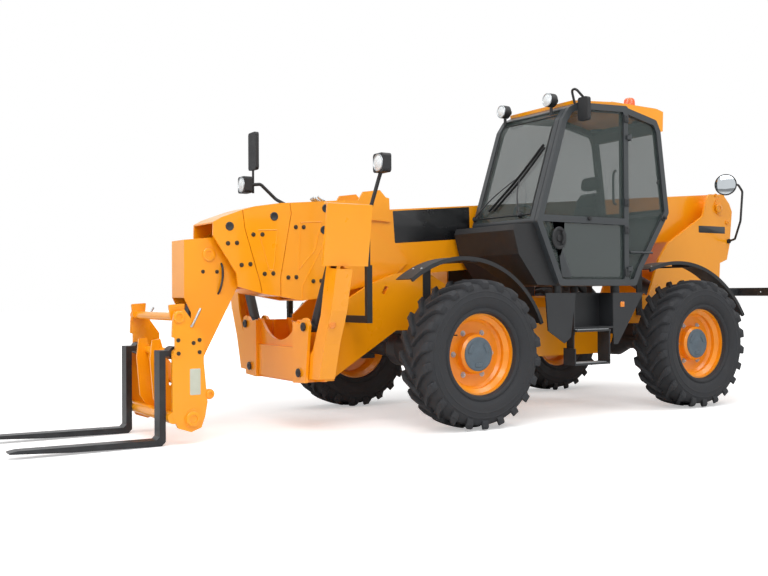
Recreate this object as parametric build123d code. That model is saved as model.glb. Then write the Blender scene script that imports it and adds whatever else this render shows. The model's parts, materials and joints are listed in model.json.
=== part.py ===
from build123d import *
import math
import os

# A telescopic handler with a four-section boom, fork carriage, front stabilisers and a cab on its left.
# Millimetres. Stations run forward from the rear axle, +Y is the machine's left, heights are above ground.
# Every piece is built at its station; export moves all of them so the origin lies mid-length on the ground.

# ------------------------------------------------------------------ running gear
WHEELBASE = 2750.0
TYRE_RADIUS = 631.5
TYRE_WIDTH = 400.0
WHEEL_Y = 1020.0            # tyre centre plane from the machine's centre
RIM_SEAT_RADIUS = 340.0
RIM_FLANGE_RADIUS = 368.0
RIM_HALF_WIDTH = 129.0
RIM_WALL = 12.0
RIM_DISC_Y = 10.0           # disc, outwards of the tyre's centre plane
TREAD_RADIUS = 600.0        # carcass between the lugs
TYRE_SIDES = 28
LUGS_PER_SIDE = 16
LUG_WIDTH = 56.0
LUG_SLANT = 104.0
SEAT_GAP = 0.3              # between pieces that bear on each other
HUB_RADIUS = 165.0
HUB_CAP_RADIUS = 145.0
HUB_CAP_Y = 92.0
KINGPIN_Y = 790.0
KINGPIN_RADIUS = 28.0
KNUCKLE_HEIGHT = 190.0
KNUCKLE_RADIUS = 66.0
SPINDLE_RADIUS = 55.0
AXLE_TUBE_RADIUS = 72.0
DIFF_RADIUS = 165.0
YOKE_PLATE = 34.0
AXLE_SEAT = 185.0           # top of the axle's saddle above its centre
RUN_GAP = 0.5               # radial play of a turning fit

# ------------------------------------------------------------------ chassis
PLATE = 25.0
RAIL_Y = 360.0              # outer face of the chassis side plates
PIVOT_X = -1330.0           # boom pivot
PIVOT_Z = 2107.0
PIVOT_PIN_RADIUS = 45.0
PIVOT_PIN_Y = 190.0         # inner end of each pivot pin
OUTRIGGER_X = (1000.0, 1740.0)
OUTRIGGER_TOP_Z = 1100.0
OUTRIGGER_END_Y = 1052.0
TAIL_BACK_X = -1285.0
CRADLE_FRONT_X = 4105.0
CRADLE_REAR_X = 3745.0
CRADLE_HALF_WIDTH = 420.0
CRADLE_LOW_Z = 410.0
CRADLE_TOP_Z = 930.0
CRADLE_PANEL_HALF = 355.0
CRADLE_PANEL_TOP = 700.0
CUT_OUT_Z = 1185.0          # centre of the arc cut below the boom
CUT_OUT_RADIUS = 436.0
LEG_PIVOT_Y = 480.0
LEG_PIVOT_Z = 500.0
LEG_PIN_RADIUS = 28.0
STRUT_PIN_Y = 570.0
STRUT_PIN_Z = 878.0
STRUT_PIN_RADIUS = 20.0
REAR_END_X = -1650.0
REAR_BAR_Z = 1140.0
HITCH_Z = 560.0
TOW_PIN_RADIUS = 16.5

# ------------------------------------------------------------------ stabilisers
LEG_ROOT_GAP = 6.0
LEG_WALL = 14.0
LEG_TOP_Y = 1050.0          # outer skin's upper edge, folded
LEG_TOP_Z = 1335.0
PAD_PIN_Y = 960.0
PAD_PIN_Z = 1612.0
PAD_PIN_RADIUS = 18.0
PAD_X = (3762.0, 4166.0)
PAD_HEIGHT = 485.0
PAD_PLATE = 20.0
PAD_FACE = 62.0             # back of the pad's plate from its pin
PAD_LEAN = 9.3              # degrees, folded pad off upright
LEG_DEPTH = 142.0
STRUT_REACH = 1100.0        # strut's upper pin from the leg's pivot
STRUT_BARREL_RADIUS = 44.0
STRUT_ROD_RADIUS = 26.0

# ------------------------------------------------------------------ boom
BOOM_DROP = 4.65            # degrees below level, lowered
BOOM_AXIS_W = -98.0         # sections' centre line below the pivot line
SECTION_TABLE = (
    # name, width, height, wall, rear end u, mouth u
    ("boom_outer", 400.0, 500.0, 12.0, -300.0, 5345.0),
    ("boom_second", 352.0, 452.0, 10.0, 120.0, 5600.0),
    ("boom_third", 308.0, 408.0, 9.0, 170.0, 5830.0),
    ("boom_inner", 268.0, 366.0, 9.0, 220.0, 5900.0),
)
PAD_RUN = 120.0             # length of the slide pads
PAD_PLAY = 0.6
KEEL_REAR_U = 1950.0        # deep belly of the outer section, from behind the cab to the head
KEEL_DEPTH = 104.0
HEAD_GAP = 6.0
HEAD_PLATE = 20.0
HEAD_HALF_WIDTH = 220.0
HEAD_SHEET = 12.0
HEAD_TABLE = (
    # side plate's outline, its closed top edge and its closed lower edge, as (u, w) along the boom
    (((4240.0, -300.0), (4240.0, -348.0), (4420.0, -480.0), (4800.0, -530.0), (5130.0, -580.0),
      (5334.0, -590.0),
      (5531.0, -538.0), (5517.0, -370.0), (5372.0, 157.0), (5377.0, 247.0), (4839.0, 250.0), (4760.0, 150.0)),
     ((4960.0, 249.0), (5377.0, 247.0)), ((5140.0, -580.0), (5334.0, -590.0))),
    (((5537.0, -536.0), (5523.0, -370.0), (5378.0, 157.0), (5383.0, 247.0), (5474.0, 247.0), (5705.0, 229.0),
      (5815.0, 206.0), (5808.0, 51.0), (5708.0, -411.0), (5700.0, -497.0)),
     ((5474.0, 247.0), (5705.0, 229.0), (5815.0, 206.0)), ((5545.0, -534.0), (5695.0, -499.0))),
    (((5706.0, -495.0), (5714.0, -411.0), (5814.0, 51.0), (5821.0, 204.0), (6007.0, 152.0), (6082.0, 118.0),
      (6094.0, 11.0), (5916.0, -312.0), (5911.0, -422.0)),
     ((5821.0, 204.0), (6007.0, 152.0), (6082.0, 118.0)), ((5712.0, -493.0), (5840.0, -446.0))),
)
LIFT_BASE_X = -1150.0
LIFT_BASE_Z = 950.0
LIFT_EYE_U = 1500.0
LIFT_EYE_W = -530.0
LIFT_BARREL_RADIUS = 78.0
LIFT_ROD_RADIUS = 45.0
LIFT_PIN_RADIUS = 35.0
NOSE_HALF_WIDTH = 140.0
NOSE_WALL = 14.0
TIP_PIVOT_X = 5030.0
TIP_PIVOT_Z = 199.0
TIP_PIN_RADIUS = 30.0
TILT_BASE_X = 4720.0
TILT_BASE_Z = 1469.0
TILT_EYE_DX = -10.0
TILT_EYE_DZ = 275.0
TILT_BARREL_RADIUS = 46.0
TILT_ROD_RADIUS = 28.0
TILT_ROD_SHOWING = 330.0    # between the gland and the rod's eye, forks level
TILT_ROOM = 90.0            # way left for the rod when the forks tilt back

# ------------------------------------------------------------------ carriage and forks
CARRIAGE_Y = 520.0
CARRIAGE_PLATE = 25.0
CROSS_TUBE_X = 5141.0
CROSS_TUBE_Z = 976.0
CROSS_TUBE_RADIUS = 32.0
SHAFT_X = 5155.0
SHAFT_Z = 700.0
SHAFT_RADIUS = 32.0
SHANK_BACK_X = 5232.0
FORK_THICKNESS = 48.0
FORK_WIDTH = 120.0
FORK_Y = 409.0
FORK_HEEL_Z = 4.0
FORK_TIP_X = 6350.0
FORK_EYE_RADIUS = 52.0
REST_TUBE_RADIUS = 45.0
REST_TUBE_Z = 215.0

# ------------------------------------------------------------------ mudguards and steps
FENDER_INNER_Y = 842.0
FENDER_OUTER_Y = 1080.0
FENDER_SHEET = 7.0
FENDER_TABLE = (
    # station, then the front edge, the crown and the rear edge as (station, height)
    (WHEELBASE, (3397.0, 1261.0), (2811.0, 1446.0), (1995.0, 875.0)),
    (0.0, (619.0, 1366.0), (36.0, 1430.0), (-790.0, 900.0)),
)
STEP_OUTER_Y = 1160.0
STEP_INNER_Y = 930.0

# ------------------------------------------------------------------ cab
CAB_OUTLINE = (
    # seen from the left, (station, height), front foot first and round by the windscreen
    (1865.0, 1205.0), (2129.0, 1769.0), (1822.0, 2690.0), (1742.0, 2802.0), (1630.0, 2856.0), (985.0, 2885.0),
    (560.0, 2800.0), (502.0, 2700.0), (392.0, 1910.0), (780.0, 1345.0), (850.0, 1205.0),
)
CAB_LEFT_Y = 1112.0         # outer face of the cab's fixed left frame
CAB_RIGHT_Y = 240.0
CAB_FRAME = 55.0            # depth of the pillars across the machine
CAB_PILLAR = 58.0
CAB_BEAM = 50.0
CAB_WALL = 12.0
DOOR_THICKNESS = 40.0
DOOR_GAP = 6.0
GLASS = 6.0
PILLAR_B_X = 985.0
DOOR_REAR_X = 995.0
DOOR_HINGE_X = 975.0
DOOR_HINGE_Y = 1165.0
DOOR_HINGE_Z = (1330.0, 2560.0)
CAB_FLOOR_TOP = 1235.0
STEERING_HUB = (1786.0, 680.0, 1804.0)
STEERING_AXIS = (-110.0, 0.0, 100.0)

# ------------------------------------------------------------------ engine bay on the right
POD_REAR_X = 785.0
POD_FRONT_X = WHEELBASE - 790.0
POD_INNER_Y = -385.0
POD_OUTER_Y = -1160.0
POD_LOW_Z = 560.0
POD_TOP_Z = 1440.0
HOOD_SPLIT_Z = 1060.0
SHEET = 8.0
HOOD_HINGE_Y = -370.0
HOOD_HINGE_Z = 1450.0
HOOD_HINGE_X = (930.0, 1760.0)

REAR_MIRROR_LOOK = (0.80, 0.60, 0.0)
ORIGIN_X = (FORK_TIP_X + REAR_END_X) / 2


# ------------------------------------------------------------------ helpers
def block(x_from, x_to, y_from, y_to, z_from, z_to):
    """Box between two corners."""
    size = (abs(x_to - x_from), abs(y_to - y_from), abs(z_to - z_from))
    centre = ((x_from + x_to) / 2, (y_from + y_to) / 2, (z_from + z_to) / 2)
    return Pos(*centre) * Box(*size)


def side_plate(outline, y_from, y_to, corner=0.0):
    """Outline of (x, z) points seen from the side, extruded across the machine."""
    points = [(x, y_from, z) for x, z in outline]
    face = Face(Wire.make_polygon([Vector(*p) for p in points], close=True))
    if corner:
        face = face.fillet_2d(corner, face.vertices())
    return extrude(face, amount=y_to - y_from, dir=(0, 1, 0))


def cross_plate(outline, x_from, x_to, corner=0.0):
    """Outline of (y, z) points seen from the front, extruded along the machine."""
    face = Face(Wire.make_polygon([Vector(x_from, y, z) for y, z in outline], close=True))
    if corner:
        face = face.fillet_2d(corner, face.vertices())
    return extrude(face, amount=x_to - x_from, dir=(1, 0, 0))


def rod(start, end, radius):
    """Cylinder between two points."""
    start, end = Vector(*start), Vector(*end)
    axis = end - start
    return Solid.make_cylinder(radius, axis.length, Plane(origin=start, z_dir=axis))


def across(x, z, radius, y_from, y_to):
    """Cylinder lying across the machine."""
    return rod((x, y_from, z), (x, y_to, z), radius)


def bent_tube(points, radius, bend):
    """Round tube swept along straight runs and tangent arcs."""
    path = FilletPolyline(*points, radius=bend)
    start = path @ 0
    section = Plane(origin=start, z_dir=path % 0) * Circle(radius)
    return sweep(section, path=path)


def inset(outline, distance):
    """Outline moved inwards by a distance, for windows and rings."""
    count = len(outline)
    area = sum(outline[i][0] * outline[(i + 1) % count][1] - outline[(i + 1) % count][0] * outline[i][1]
               for i in range(count))
    turn = 1.0 if area > 0 else -1.0
    lines = []
    for i in range(count):
        (ax, az), (bx, bz) = outline[i], outline[(i + 1) % count]
        length = math.hypot(bx - ax, bz - az)
        nx, nz = -(bz - az) / length * turn, (bx - ax) / length * turn
        lines.append((ax + nx * distance, az + nz * distance, bx - ax, bz - az))
    moved = []
    for i in range(count):
        px, pz, pdx, pdz = lines[i - 1]
        qx, qz, qdx, qdz = lines[i]
        cross = pdx * qdz - pdz * qdx
        step = ((qx - px) * qdz - (qz - pz) * qdx) / cross
        moved.append((px + step * pdx, pz + step * pdz))
    return moved


def fuse(pieces):
    """Join overlapping pieces into one body."""
    pieces = list(pieces)
    joined = pieces[0]
    for piece in pieces[1:]:
        joined = joined + piece
    return joined


def mirrored(shape):
    """The same piece on the other side of the machine."""
    return mirror(shape, about=Plane.XZ)


def on_boom(shape):
    """Place a piece drawn along the level boom at its lowered angle."""
    return Location((PIVOT_X, 0, PIVOT_Z), (0, BOOM_DROP, 0)) * shape


def boom_point(u, w):
    """Station and height of a point given along and square to the lowered boom."""
    angle = math.radians(BOOM_DROP)
    return (PIVOT_X + u * math.cos(angle) + w * math.sin(angle),
            PIVOT_Z - u * math.sin(angle) + w * math.cos(angle))


def along_boom(x, z):
    """Inverse of boom_point."""
    angle = math.radians(BOOM_DROP)
    dx, dz = x - PIVOT_X, z - PIVOT_Z
    return (dx * math.cos(angle) - dz * math.sin(angle), dx * math.sin(angle) + dz * math.cos(angle))


# ------------------------------------------------------------------ wheels and axles
def tyre():
    """Lug tyre about the Y axis at the origin, outer side towards +Y."""
    half = TYRE_WIDTH / 2
    stations = (
        # offset from the centre plane, radius
        (-RIM_HALF_WIDTH + RIM_WALL + 1, RIM_FLANGE_RADIUS + 8), (-half + 10, 450.0), (-half, 520.0),
        (-half + 38, TREAD_RADIUS),
    )
    rings = stations + tuple((-y, r) for y, r in reversed(stations))
    wires = []
    for y, radius in rings:
        corners = []
        for i in range(TYRE_SIDES):
            turn = 2 * math.pi * i / TYRE_SIDES
            corners.append(Vector(radius * math.sin(turn), y, radius * math.cos(turn)))
        wires.append(Wire.make_polygon(corners, close=True))
    carcass = Solid.make_loft(wires, ruled=True)
    pitch = 360.0 / LUGS_PER_SIDE
    lead, trail = (LUG_SLANT + LUG_WIDTH) / 2, (LUG_SLANT - LUG_WIDTH) / 2
    top = math.sqrt(TYRE_RADIUS ** 2 - lead ** 2)
    root = TREAD_RADIUS - 42
    lugs = []
    for side in (1, -1):
        inner_y, outer_y = 14.0 * side, (half - 1.5) * side
        plan = [(-lead, inner_y), (-trail, inner_y), (lead, outer_y), (trail, outer_y)]
        face = Face(Wire.make_polygon([Vector(t, y, root) for t, y in plan], close=True))
        lug = extrude(face, amount=top - root, dir=(0, 0, 1))
        for i in range(LUGS_PER_SIDE):
            lugs.append(Rot(0, (i + (0.0 if side > 0 else 0.5)) * pitch, 0) * lug)
    body = carcass.fuse(*[solid for lug in lugs for solid in lug.solids()])
    bead = across(0, 0, RIM_SEAT_RADIUS + SEAT_GAP, -TYRE_WIDTH, TYRE_WIDTH)
    corner_turn = math.degrees(math.asin(lead / TYRE_RADIUS))
    return Rot(0, corner_turn, 0) * (body - bead)


def rim():
    """Deep-dish rim with its hub drum, about the Y axis, outer side towards +Y."""
    edge, seat, lip, wall = RIM_HALF_WIDTH, RIM_SEAT_RADIUS, RIM_FLANGE_RADIUS, RIM_WALL
    well = seat - 34
    disc, cap = RIM_DISC_Y, HUB_CAP_Y
    bore = SPINDLE_RADIUS + RUN_GAP
    profile = [
        # radius, offset
        (bore, -80), (HUB_RADIUS - 10, -80), (HUB_RADIUS + 18, disc - 14),
        (well - 30, disc - 14), (well - wall, -edge + 40), (seat - wall, -edge), (lip, -edge),
        (lip, -edge + wall), (seat, -edge + wall), (seat, -edge + 46), (well, -edge + 70), (well, edge - 70),
        (seat, edge - 46), (seat, edge - wall), (lip, edge - wall), (lip, edge), (seat - wall, edge),
        (seat - wall, edge - 34), (well - wall, edge - 62), (well - wall, disc + 22), (well - 34, disc),
        (HUB_RADIUS + 10, disc), (HUB_RADIUS, disc + 16), (HUB_RADIUS, cap - 20), (HUB_CAP_RADIUS, cap),
        (0, cap), (0, cap - 20), (bore, cap - 20),
    ]
    return spun(profile)


def spun(profile):
    """Solid of revolution about Y from (radius, offset) points."""
    face = Face(Wire.make_polygon([Vector(r, y, 0) for r, y in profile], close=True))
    return revolve(face, axis=Axis.Y)


def knuckle():
    """Steering knuckle on the left: barrel on the kingpin, flange, steering arm and wheel spindle."""
    pin_y, half = KINGPIN_Y, KNUCKLE_HEIGHT / 2
    barrel = rod((0, pin_y, -half), (0, pin_y, half), KNUCKLE_RADIUS)
    flange = across(0, 0, 120.0, pin_y + 80, pin_y + 110)
    spindle = across(0, 0, SPINDLE_RADIUS, pin_y, WHEEL_Y + HUB_CAP_Y - 25)
    neck = across(0, 0, 80.0, pin_y, pin_y + 85)
    arm = block(-150, 0, pin_y - 26, pin_y + 26, -70, -40) + rod((-150, pin_y, -70), (-150, pin_y, -40), 30)
    pin_length = half + RUN_GAP + YOKE_PLATE
    kingpin = rod((0, pin_y, -pin_length), (0, pin_y, pin_length), KINGPIN_RADIUS)
    return fuse((barrel, neck, flange, spindle, arm, kingpin))


def axle():
    """Axle beam with its differential housing, saddle and a yoke at each end for the knuckle."""
    reach = KINGPIN_Y - KNUCKLE_RADIUS - 40
    low = KNUCKLE_HEIGHT / 2 + RUN_GAP
    tube, differential = AXLE_TUBE_RADIUS, DIFF_RADIUS
    body = spun([(0, -reach), (tube, -reach), (tube + 18, -differential - 60), (differential, -70),
                 (differential, 70), (tube + 18, differential + 60), (tube, reach), (0, reach)])
    body = body + block(-90, 90, -RAIL_Y, RAIL_Y, tube - 20, AXLE_SEAT)
    for side in (1, -1):
        body = body + block(-70, 70, side * (reach - 40), side * (reach + 14), -low - YOKE_PLATE,
                            low + YOKE_PLATE)
        for up in (1, -1):
            near, far = up * low, up * (low + YOKE_PLATE)
            ear = block(-70, 70, side * reach, side * KINGPIN_Y, near, far)
            end = rod((0, side * KINGPIN_Y, near), (0, side * KINGPIN_Y, far), 70)
            bore = rod((0, side * KINGPIN_Y, near), (0, side * KINGPIN_Y, far), KINGPIN_RADIUS + 0.05)
            body = body + ear + end - bore
    return body


# ------------------------------------------------------------------ chassis
def chassis_frame():
    """Two side plates from the front cradle to the tall tail, with the cross members between them."""
    seat = TYRE_RADIUS + AXLE_SEAT + SEAT_GAP
    front = WHEELBASE
    outline = [
        (CRADLE_REAR_X, CRADLE_LOW_Z), (3650, 470), (front + 330, seat), (front - 300, seat),
               (front - 450, 520),
        (470, 520), (320, seat), (-330, seat), (-1210, seat + 10), (-1290, 900), (-1330, 1470), (-1450, 1510),
        (-1500, 1680), (-1545, 2060), (-1500, 2150), (-1390, 2252), (-1160, 2244), (-1120, 2200),
               (-1040, 1992),
        (-465, 1676), (-320, 1500), (-150, 1110), (front - 420, 1110), (front - 60, 1310),
               (front + 230, 1335),
        (front + 370, 1310), (front + 610, 1220), (front + 850, 1085), (CRADLE_REAR_X, CRADLE_TOP_Z + 30),
    ]
    inner = RAIL_Y - PLATE
    slot = [(3198, 1132), (3230, 1150), (3190, 1216), (3158, 1200)]
    plate = side_plate(outline, inner, RAIL_Y) - side_plate(slot, inner - 1, RAIL_Y + 1)
    pieces = [plate, mirrored(plate)]
    for x_from, x_to, z_from, z_to in (
        # cross members between the plates
        (-1285, -1255, 960, 1440), (-240, -215, seat, 1080), (480, 505, 545, 900),
        (front - 480, front - 455, 545, 900), (481, front - 456, 530, 546),
                                       (front + 300, front + 325, seat, 1180),
    ):
        pieces.append(block(x_from, x_to, -inner - 1, inner + 1, z_from, z_to))
    for side in (1, -1):
        pieces.append(across(PIVOT_X, PIVOT_Z, PIVOT_PIN_RADIUS, side * PIVOT_PIN_Y, side * (RAIL_Y + 18)))
        pieces.append(across(PIVOT_X, PIVOT_Z, 95, side * (inner - 2), side * (RAIL_Y + 10)))
        pieces.append(across(LIFT_BASE_X, LIFT_BASE_Z, 80, side * (LIFT_BARREL_RADIUS + 40), side * RAIL_Y))
    pieces.append(across(LIFT_BASE_X, LIFT_BASE_Z, LIFT_PIN_RADIUS, -inner, inner))
    for x in OUTRIGGER_X:
        pieces.append(block(x - 45, x + 45, inner + 1, OUTRIGGER_END_Y, OUTRIGGER_TOP_Z - 90,
                            OUTRIGGER_TOP_Z))
        pieces.append(block(x - 45, x + 45, -inner - 1, POD_OUTER_Y + 60, POD_LOW_Z - 60,
                            POD_LOW_Z - SEAT_GAP))
    return fuse(pieces)


def front_cradle():
    """Box at the front: a plate with an arc cut out below the boom, a panel, and the legs' ears."""
    half, low, top = CRADLE_HALF_WIDTH, CRADLE_LOW_Z, CRADLE_TOP_Z
    front, rear = CRADLE_FRONT_X, CRADLE_REAR_X + SEAT_GAP
    web = front - 2 * PLATE
    ear_rear = front - 2 * PLATE - 2 * LEG_ROOT_GAP - LEG_DEPTH
    sheet = [(-half, low), (half, low), (half, top), (-half, top)]
    body = fuse((cross_plate(sheet, web - PLATE, web), cross_plate(sheet, rear, rear + PLATE),
                 block(rear + PLATE - 1, web - PLATE + 1, -half, half, low, low + PLATE)))
    body = body - rod((rear - 10, 0, CUT_OUT_Z), (front + 10, 0, CUT_OUT_Z), CUT_OUT_RADIUS)
    body = body + block(rear + PLATE - 1, web - PLATE + 1, -half, half, 660, 685)
    panel = CRADLE_PANEL_HALF
    body = body + block(web - 1, front - PLATE + 3, -panel, panel, low + 20, CRADLE_PANEL_TOP)
    ear = [(panel + 5, low), (half + 160, low + 12), (half + 225, top - 40), (half + 205, top + 5),
           (half + 165, top + 22), (half + 110, top + 12), (half + 60, top - 30), (panel + 5, top - 12)]
    for x_from, x_to in ((front - PLATE, front), (ear_rear, ear_rear + PLATE)):
        plate = cross_plate(ear, x_from, x_to, corner=9)
        body = body + plate + mirrored(plate)
    for side in (1, -1):
        body = body + block(web - 1, front - PLATE + 1, side * (panel + 5), side * half, low, top - 12)
        body = body + block(rear + PLATE - 1, web - PLATE + 1, side * (half - PLATE), side * half, low,
                            top - 12)
        for y, z, radius in ((LEG_PIVOT_Y, LEG_PIVOT_Z, LEG_PIN_RADIUS),
                             (STRUT_PIN_Y, STRUT_PIN_Z, STRUT_PIN_RADIUS)):
            body = body + rod((ear_rear - 10, side * y, z), (front + 10, side * y, z), radius)
    return body


def engine_block():
    """The engine as one plain mass, on four feet."""
    body = block(880, 1780, -930, -520, 660, 1250)
    for x in (930, 1680):
        for y in (-900, -600):
            body = body + block(x, x + 50, y, y + 50, POD_LOW_Z + SHEET + SEAT_GAP, 661)
    return body


def engine_pod():
    """Sheet tray that carries the engine between the right wheels, with the fixed wall the hood hangs on."""
    outline = [(POD_REAR_X, POD_LOW_Z + 130), (POD_REAR_X + 90, POD_LOW_Z), (POD_FRONT_X - 90, POD_LOW_Z),
               (POD_FRONT_X, POD_LOW_Z + 130), (POD_FRONT_X, HOOD_SPLIT_Z), (POD_REAR_X, HOOD_SPLIT_Z)]
    shell = side_plate(outline, POD_OUTER_Y, POD_INNER_Y)
    hollow = side_plate(inset(outline, SHEET), POD_OUTER_Y + SHEET, POD_INNER_Y - SHEET)
    mouth = block(POD_REAR_X + SHEET, POD_FRONT_X - SHEET, POD_OUTER_Y + SHEET, POD_INNER_Y - SHEET,
                  HOOD_SPLIT_Z - 2 * SHEET, HOOD_SPLIT_Z + 1)
    inner_x = SHEET + DOOR_GAP
    body = shell - hollow - mouth
    body = body + block(POD_REAR_X + inner_x, POD_FRONT_X - inner_x, POD_INNER_Y - SHEET, POD_INNER_Y,
                        HOOD_SPLIT_Z - SHEET, POD_TOP_Z - SHEET - DOOR_GAP)
    for x in HOOD_HINGE_X:
        for x_from, x_to in ((x - 30, x - 18), (x + 18, x + 30)):
            ear = cross_plate([(POD_INNER_Y - 1, POD_TOP_Z - 90), (HOOD_HINGE_Y + 12, POD_TOP_Z - 40),
                               (HOOD_HINGE_Y + 12, HOOD_HINGE_Z + 12), (HOOD_HINGE_Y - 12, HOOD_HINGE_Z + 12),
                               (HOOD_HINGE_Y - 12, POD_TOP_Z - 30), (POD_INNER_Y - 1, POD_TOP_Z - 30)],
                              x_from, x_to)
            body = body + ear
        body = body + rod((x - 30, HOOD_HINGE_Y, HOOD_HINGE_Z), (x + 30, HOOD_HINGE_Y, HOOD_HINGE_Z), 7)
    return body


def engine_hood():
    """Lid over the engine: top, sloped shoulder, louvred side and two ends, hinged at its inner edge."""
    low = HOOD_SPLIT_Z + DOOR_GAP
    section = [(POD_INNER_Y, low), (POD_INNER_Y, POD_TOP_Z), (POD_OUTER_Y + 240, POD_TOP_Z),
               (POD_OUTER_Y, POD_TOP_Z - 150), (POD_OUTER_Y, low)]
    shell = cross_plate(section, POD_REAR_X, POD_FRONT_X)
    cavity = inset(section, SHEET)
    cavity = [(y, low - 1 if z < low + 2 * SHEET else z) for y, z in cavity]
    shell = shell - cross_plate(cavity, POD_REAR_X + SHEET, POD_FRONT_X - SHEET)
    shell = shell - block(POD_REAR_X - 1, POD_FRONT_X + 1, POD_INNER_Y - SHEET - DOOR_GAP, POD_INNER_Y + 1,
                          low - 1,
                          POD_TOP_Z - SHEET)
    slots = 9
    for i in range(slots):
        x = (POD_REAR_X + POD_FRONT_X) / 2 + (i - (slots - 1) / 2) * 70
        shell = shell - block(x - 17, x + 17, POD_OUTER_Y - 10, POD_OUTER_Y + 60, low + 30, low + 180)
    for x in HOOD_HINGE_X:
        ear = block(x - 16, x + 16, POD_INNER_Y - 20, HOOD_HINGE_Y, POD_TOP_Z - 1, HOOD_HINGE_Z + 12)
        ear = ear + rod((x - 16, HOOD_HINGE_Y, HOOD_HINGE_Z), (x + 16, HOOD_HINGE_Y, HOOD_HINGE_Z), 12)
        shell = shell + ear - rod((x - 17, HOOD_HINGE_Y, HOOD_HINGE_Z), (x + 17, HOOD_HINGE_Y, HOOD_HINGE_Z),
                                  7.5)
    return shell


def fenders():
    """Four arched mudguards, each with a rolled outer lip and a bracket down to the chassis plate."""
    pieces = []
    for station, front, crown, rear in FENDER_TABLE:
        arch = arch_shell(front, crown, rear, FENDER_INNER_Y, FENDER_OUTER_Y)
        top = crown[1] - FENDER_SHEET
        inner = RAIL_Y + SEAT_GAP
        upright = block(station - 40, station + 40, inner, inner + 12, 900, top - 20)
        arm = block(station - 40, station + 40, inner, FENDER_INNER_Y + 220, top - 34, top - 18)
        riser = block(station - 40, station + 40, FENDER_INNER_Y, FENDER_INNER_Y + 220, top - 20, top + 2)
        left = arch + upright + arm + riser
        pieces += [left, mirrored(left)]
    return pieces


def circle_through(a, b, c):
    """Centre and radius of the circle through three (x, z) points."""
    (ax, az), (bx, bz), (cx, cz) = a, b, c
    scale = 2 * (ax * (bz - cz) + bx * (cz - az) + cx * (az - bz))
    a_sq, b_sq, c_sq = ax * ax + az * az, bx * bx + bz * bz, cx * cx + cz * cz
    x = (a_sq * (bz - cz) + b_sq * (cz - az) + c_sq * (az - bz)) / scale
    z = (a_sq * (cx - bx) + b_sq * (ax - cx) + c_sq * (bx - ax)) / scale
    return x, z, math.hypot(ax - x, az - z)


def arch_shell(front, crown, rear, y_from, y_to):
    """Curved sheet through a front edge, crown and rear edge, with a lip on its outer side."""
    x, z, radius = circle_through(front, crown, rear)
    outer = across(x, z, radius, y_from, y_to)
    inner = across(x, z, radius - FENDER_SHEET, y_from - 1, y_to + 1)
    lip = across(x, z, radius + 6, y_to - 24, y_to) - across(x, z, radius - 28, y_to - 25, y_to + 1)
    start = math.atan2(front[1] - z, front[0] - x)
    stop = math.atan2(rear[1] - z, rear[0] - x)
    stop = stop + 2 * math.pi if stop < start else stop
    fan, steps = [(x, z)], 5
    for i in range(steps + 1):
        angle = start + (stop - start) * i / steps
        fan.append((x + 2 * radius * math.cos(angle), z + 2 * radius * math.sin(angle)))
    return (outer - inner + lip) & side_plate(fan, y_from - 2, y_to + 2)


def side_steps():
    """Steps and panels below the cab door, bolted on the outriggers."""
    outer, inner = STEP_OUTER_Y, STEP_INNER_Y
    face = outer - 40
    top = OUTRIGGER_TOP_Z + 40
    front_panel = side_plate([(2000, top), (1640, top), (1700, 745), (1775, 690), (1972, 808)], face - 12,
                             face)
    rear_panel = side_plate([(1165, top), (762, top), (1082, 700), (1110, 662), (1165, 662)], face - 12, face)
    pieces = [front_panel, rear_panel]
    pieces.append(block(1160, 1662, inner, face - 1, 812, 830))
    pieces.append(block(1160, 1662, inner, inner + 12, 812, top))
    pieces.append(block(1240, 1668, outer - 190, outer, 788, 806))
    pieces.append(block(1262, 1692, outer - 150, outer, 487, 505))
    for x in (1160, 1652):
        pieces.append(block(x, x + 12, inner, face - 1, 760, top))
    for x in (1250, 1680):
        pieces.append(block(x, x + 12, outer - 150, outer, 487, 800 if x < 1500 else 640))
    pieces.append(block(1640, 1692, outer - 150, outer - 60, 628, 640))
    pieces.append(block(1640, 1652, outer - 150, outer - 60, 628, 800))
    foot = OUTRIGGER_TOP_Z + SEAT_GAP
    for x_from, x_to in ((OUTRIGGER_X[0] - 60, 1166), (1653, OUTRIGGER_X[1] + 60)):
        pieces.append(block(x_from, x_to, OUTRIGGER_END_Y - 22, face - 11, foot, foot + 12))
    return fuse(pieces)


def rear_bar():
    """Cross bar behind the tail for the rear lamps, on two arms outside the tail plates."""
    back, low, high = REAR_END_X, REAR_BAR_Z - 46, REAR_BAR_Z + 46
    bar = block(back, back + 14, -1080, 1080, low, high)
    for i in (-3, -2, -1, 1, 2, 3):
        bar = bar - rod((back - 1, i * 330, REAR_BAR_Z), (back + 15, i * 330, REAR_BAR_Z), 9)
    pieces = [bar]
    for side in (1, -1):
        near = RAIL_Y + SEAT_GAP
        pieces.append(block(back + 13, TAIL_BACK_X + 70, side * near, side * (near + 15), low + 6, high - 6))
    return fuse(pieces)


def tow_hitch():
    """Clevis on the tail's back plate that takes a tow pin from above."""
    base = block(TAIL_BACK_X - 25, TAIL_BACK_X, -120, 120, HITCH_Z - 80, HITCH_Z + 420)
    pieces = [base]
    for z_from, z_to in ((HITCH_Z + 32, HITCH_Z + 56), (HITCH_Z - 56, HITCH_Z - 32)):
        jaw = block(TAIL_BACK_X - 120, TAIL_BACK_X - 20, -60, 60, z_from, z_to)
        tip = rod((TAIL_BACK_X - 120, 0, z_from), (TAIL_BACK_X - 120, 0, z_to), 60)
        pieces.append(jaw + tip)
    body = fuse(pieces)
    return body - rod((TAIL_BACK_X - 120, 0, HITCH_Z - 60), (TAIL_BACK_X - 120, 0, HITCH_Z + 60),
                      TOW_PIN_RADIUS)


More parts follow.
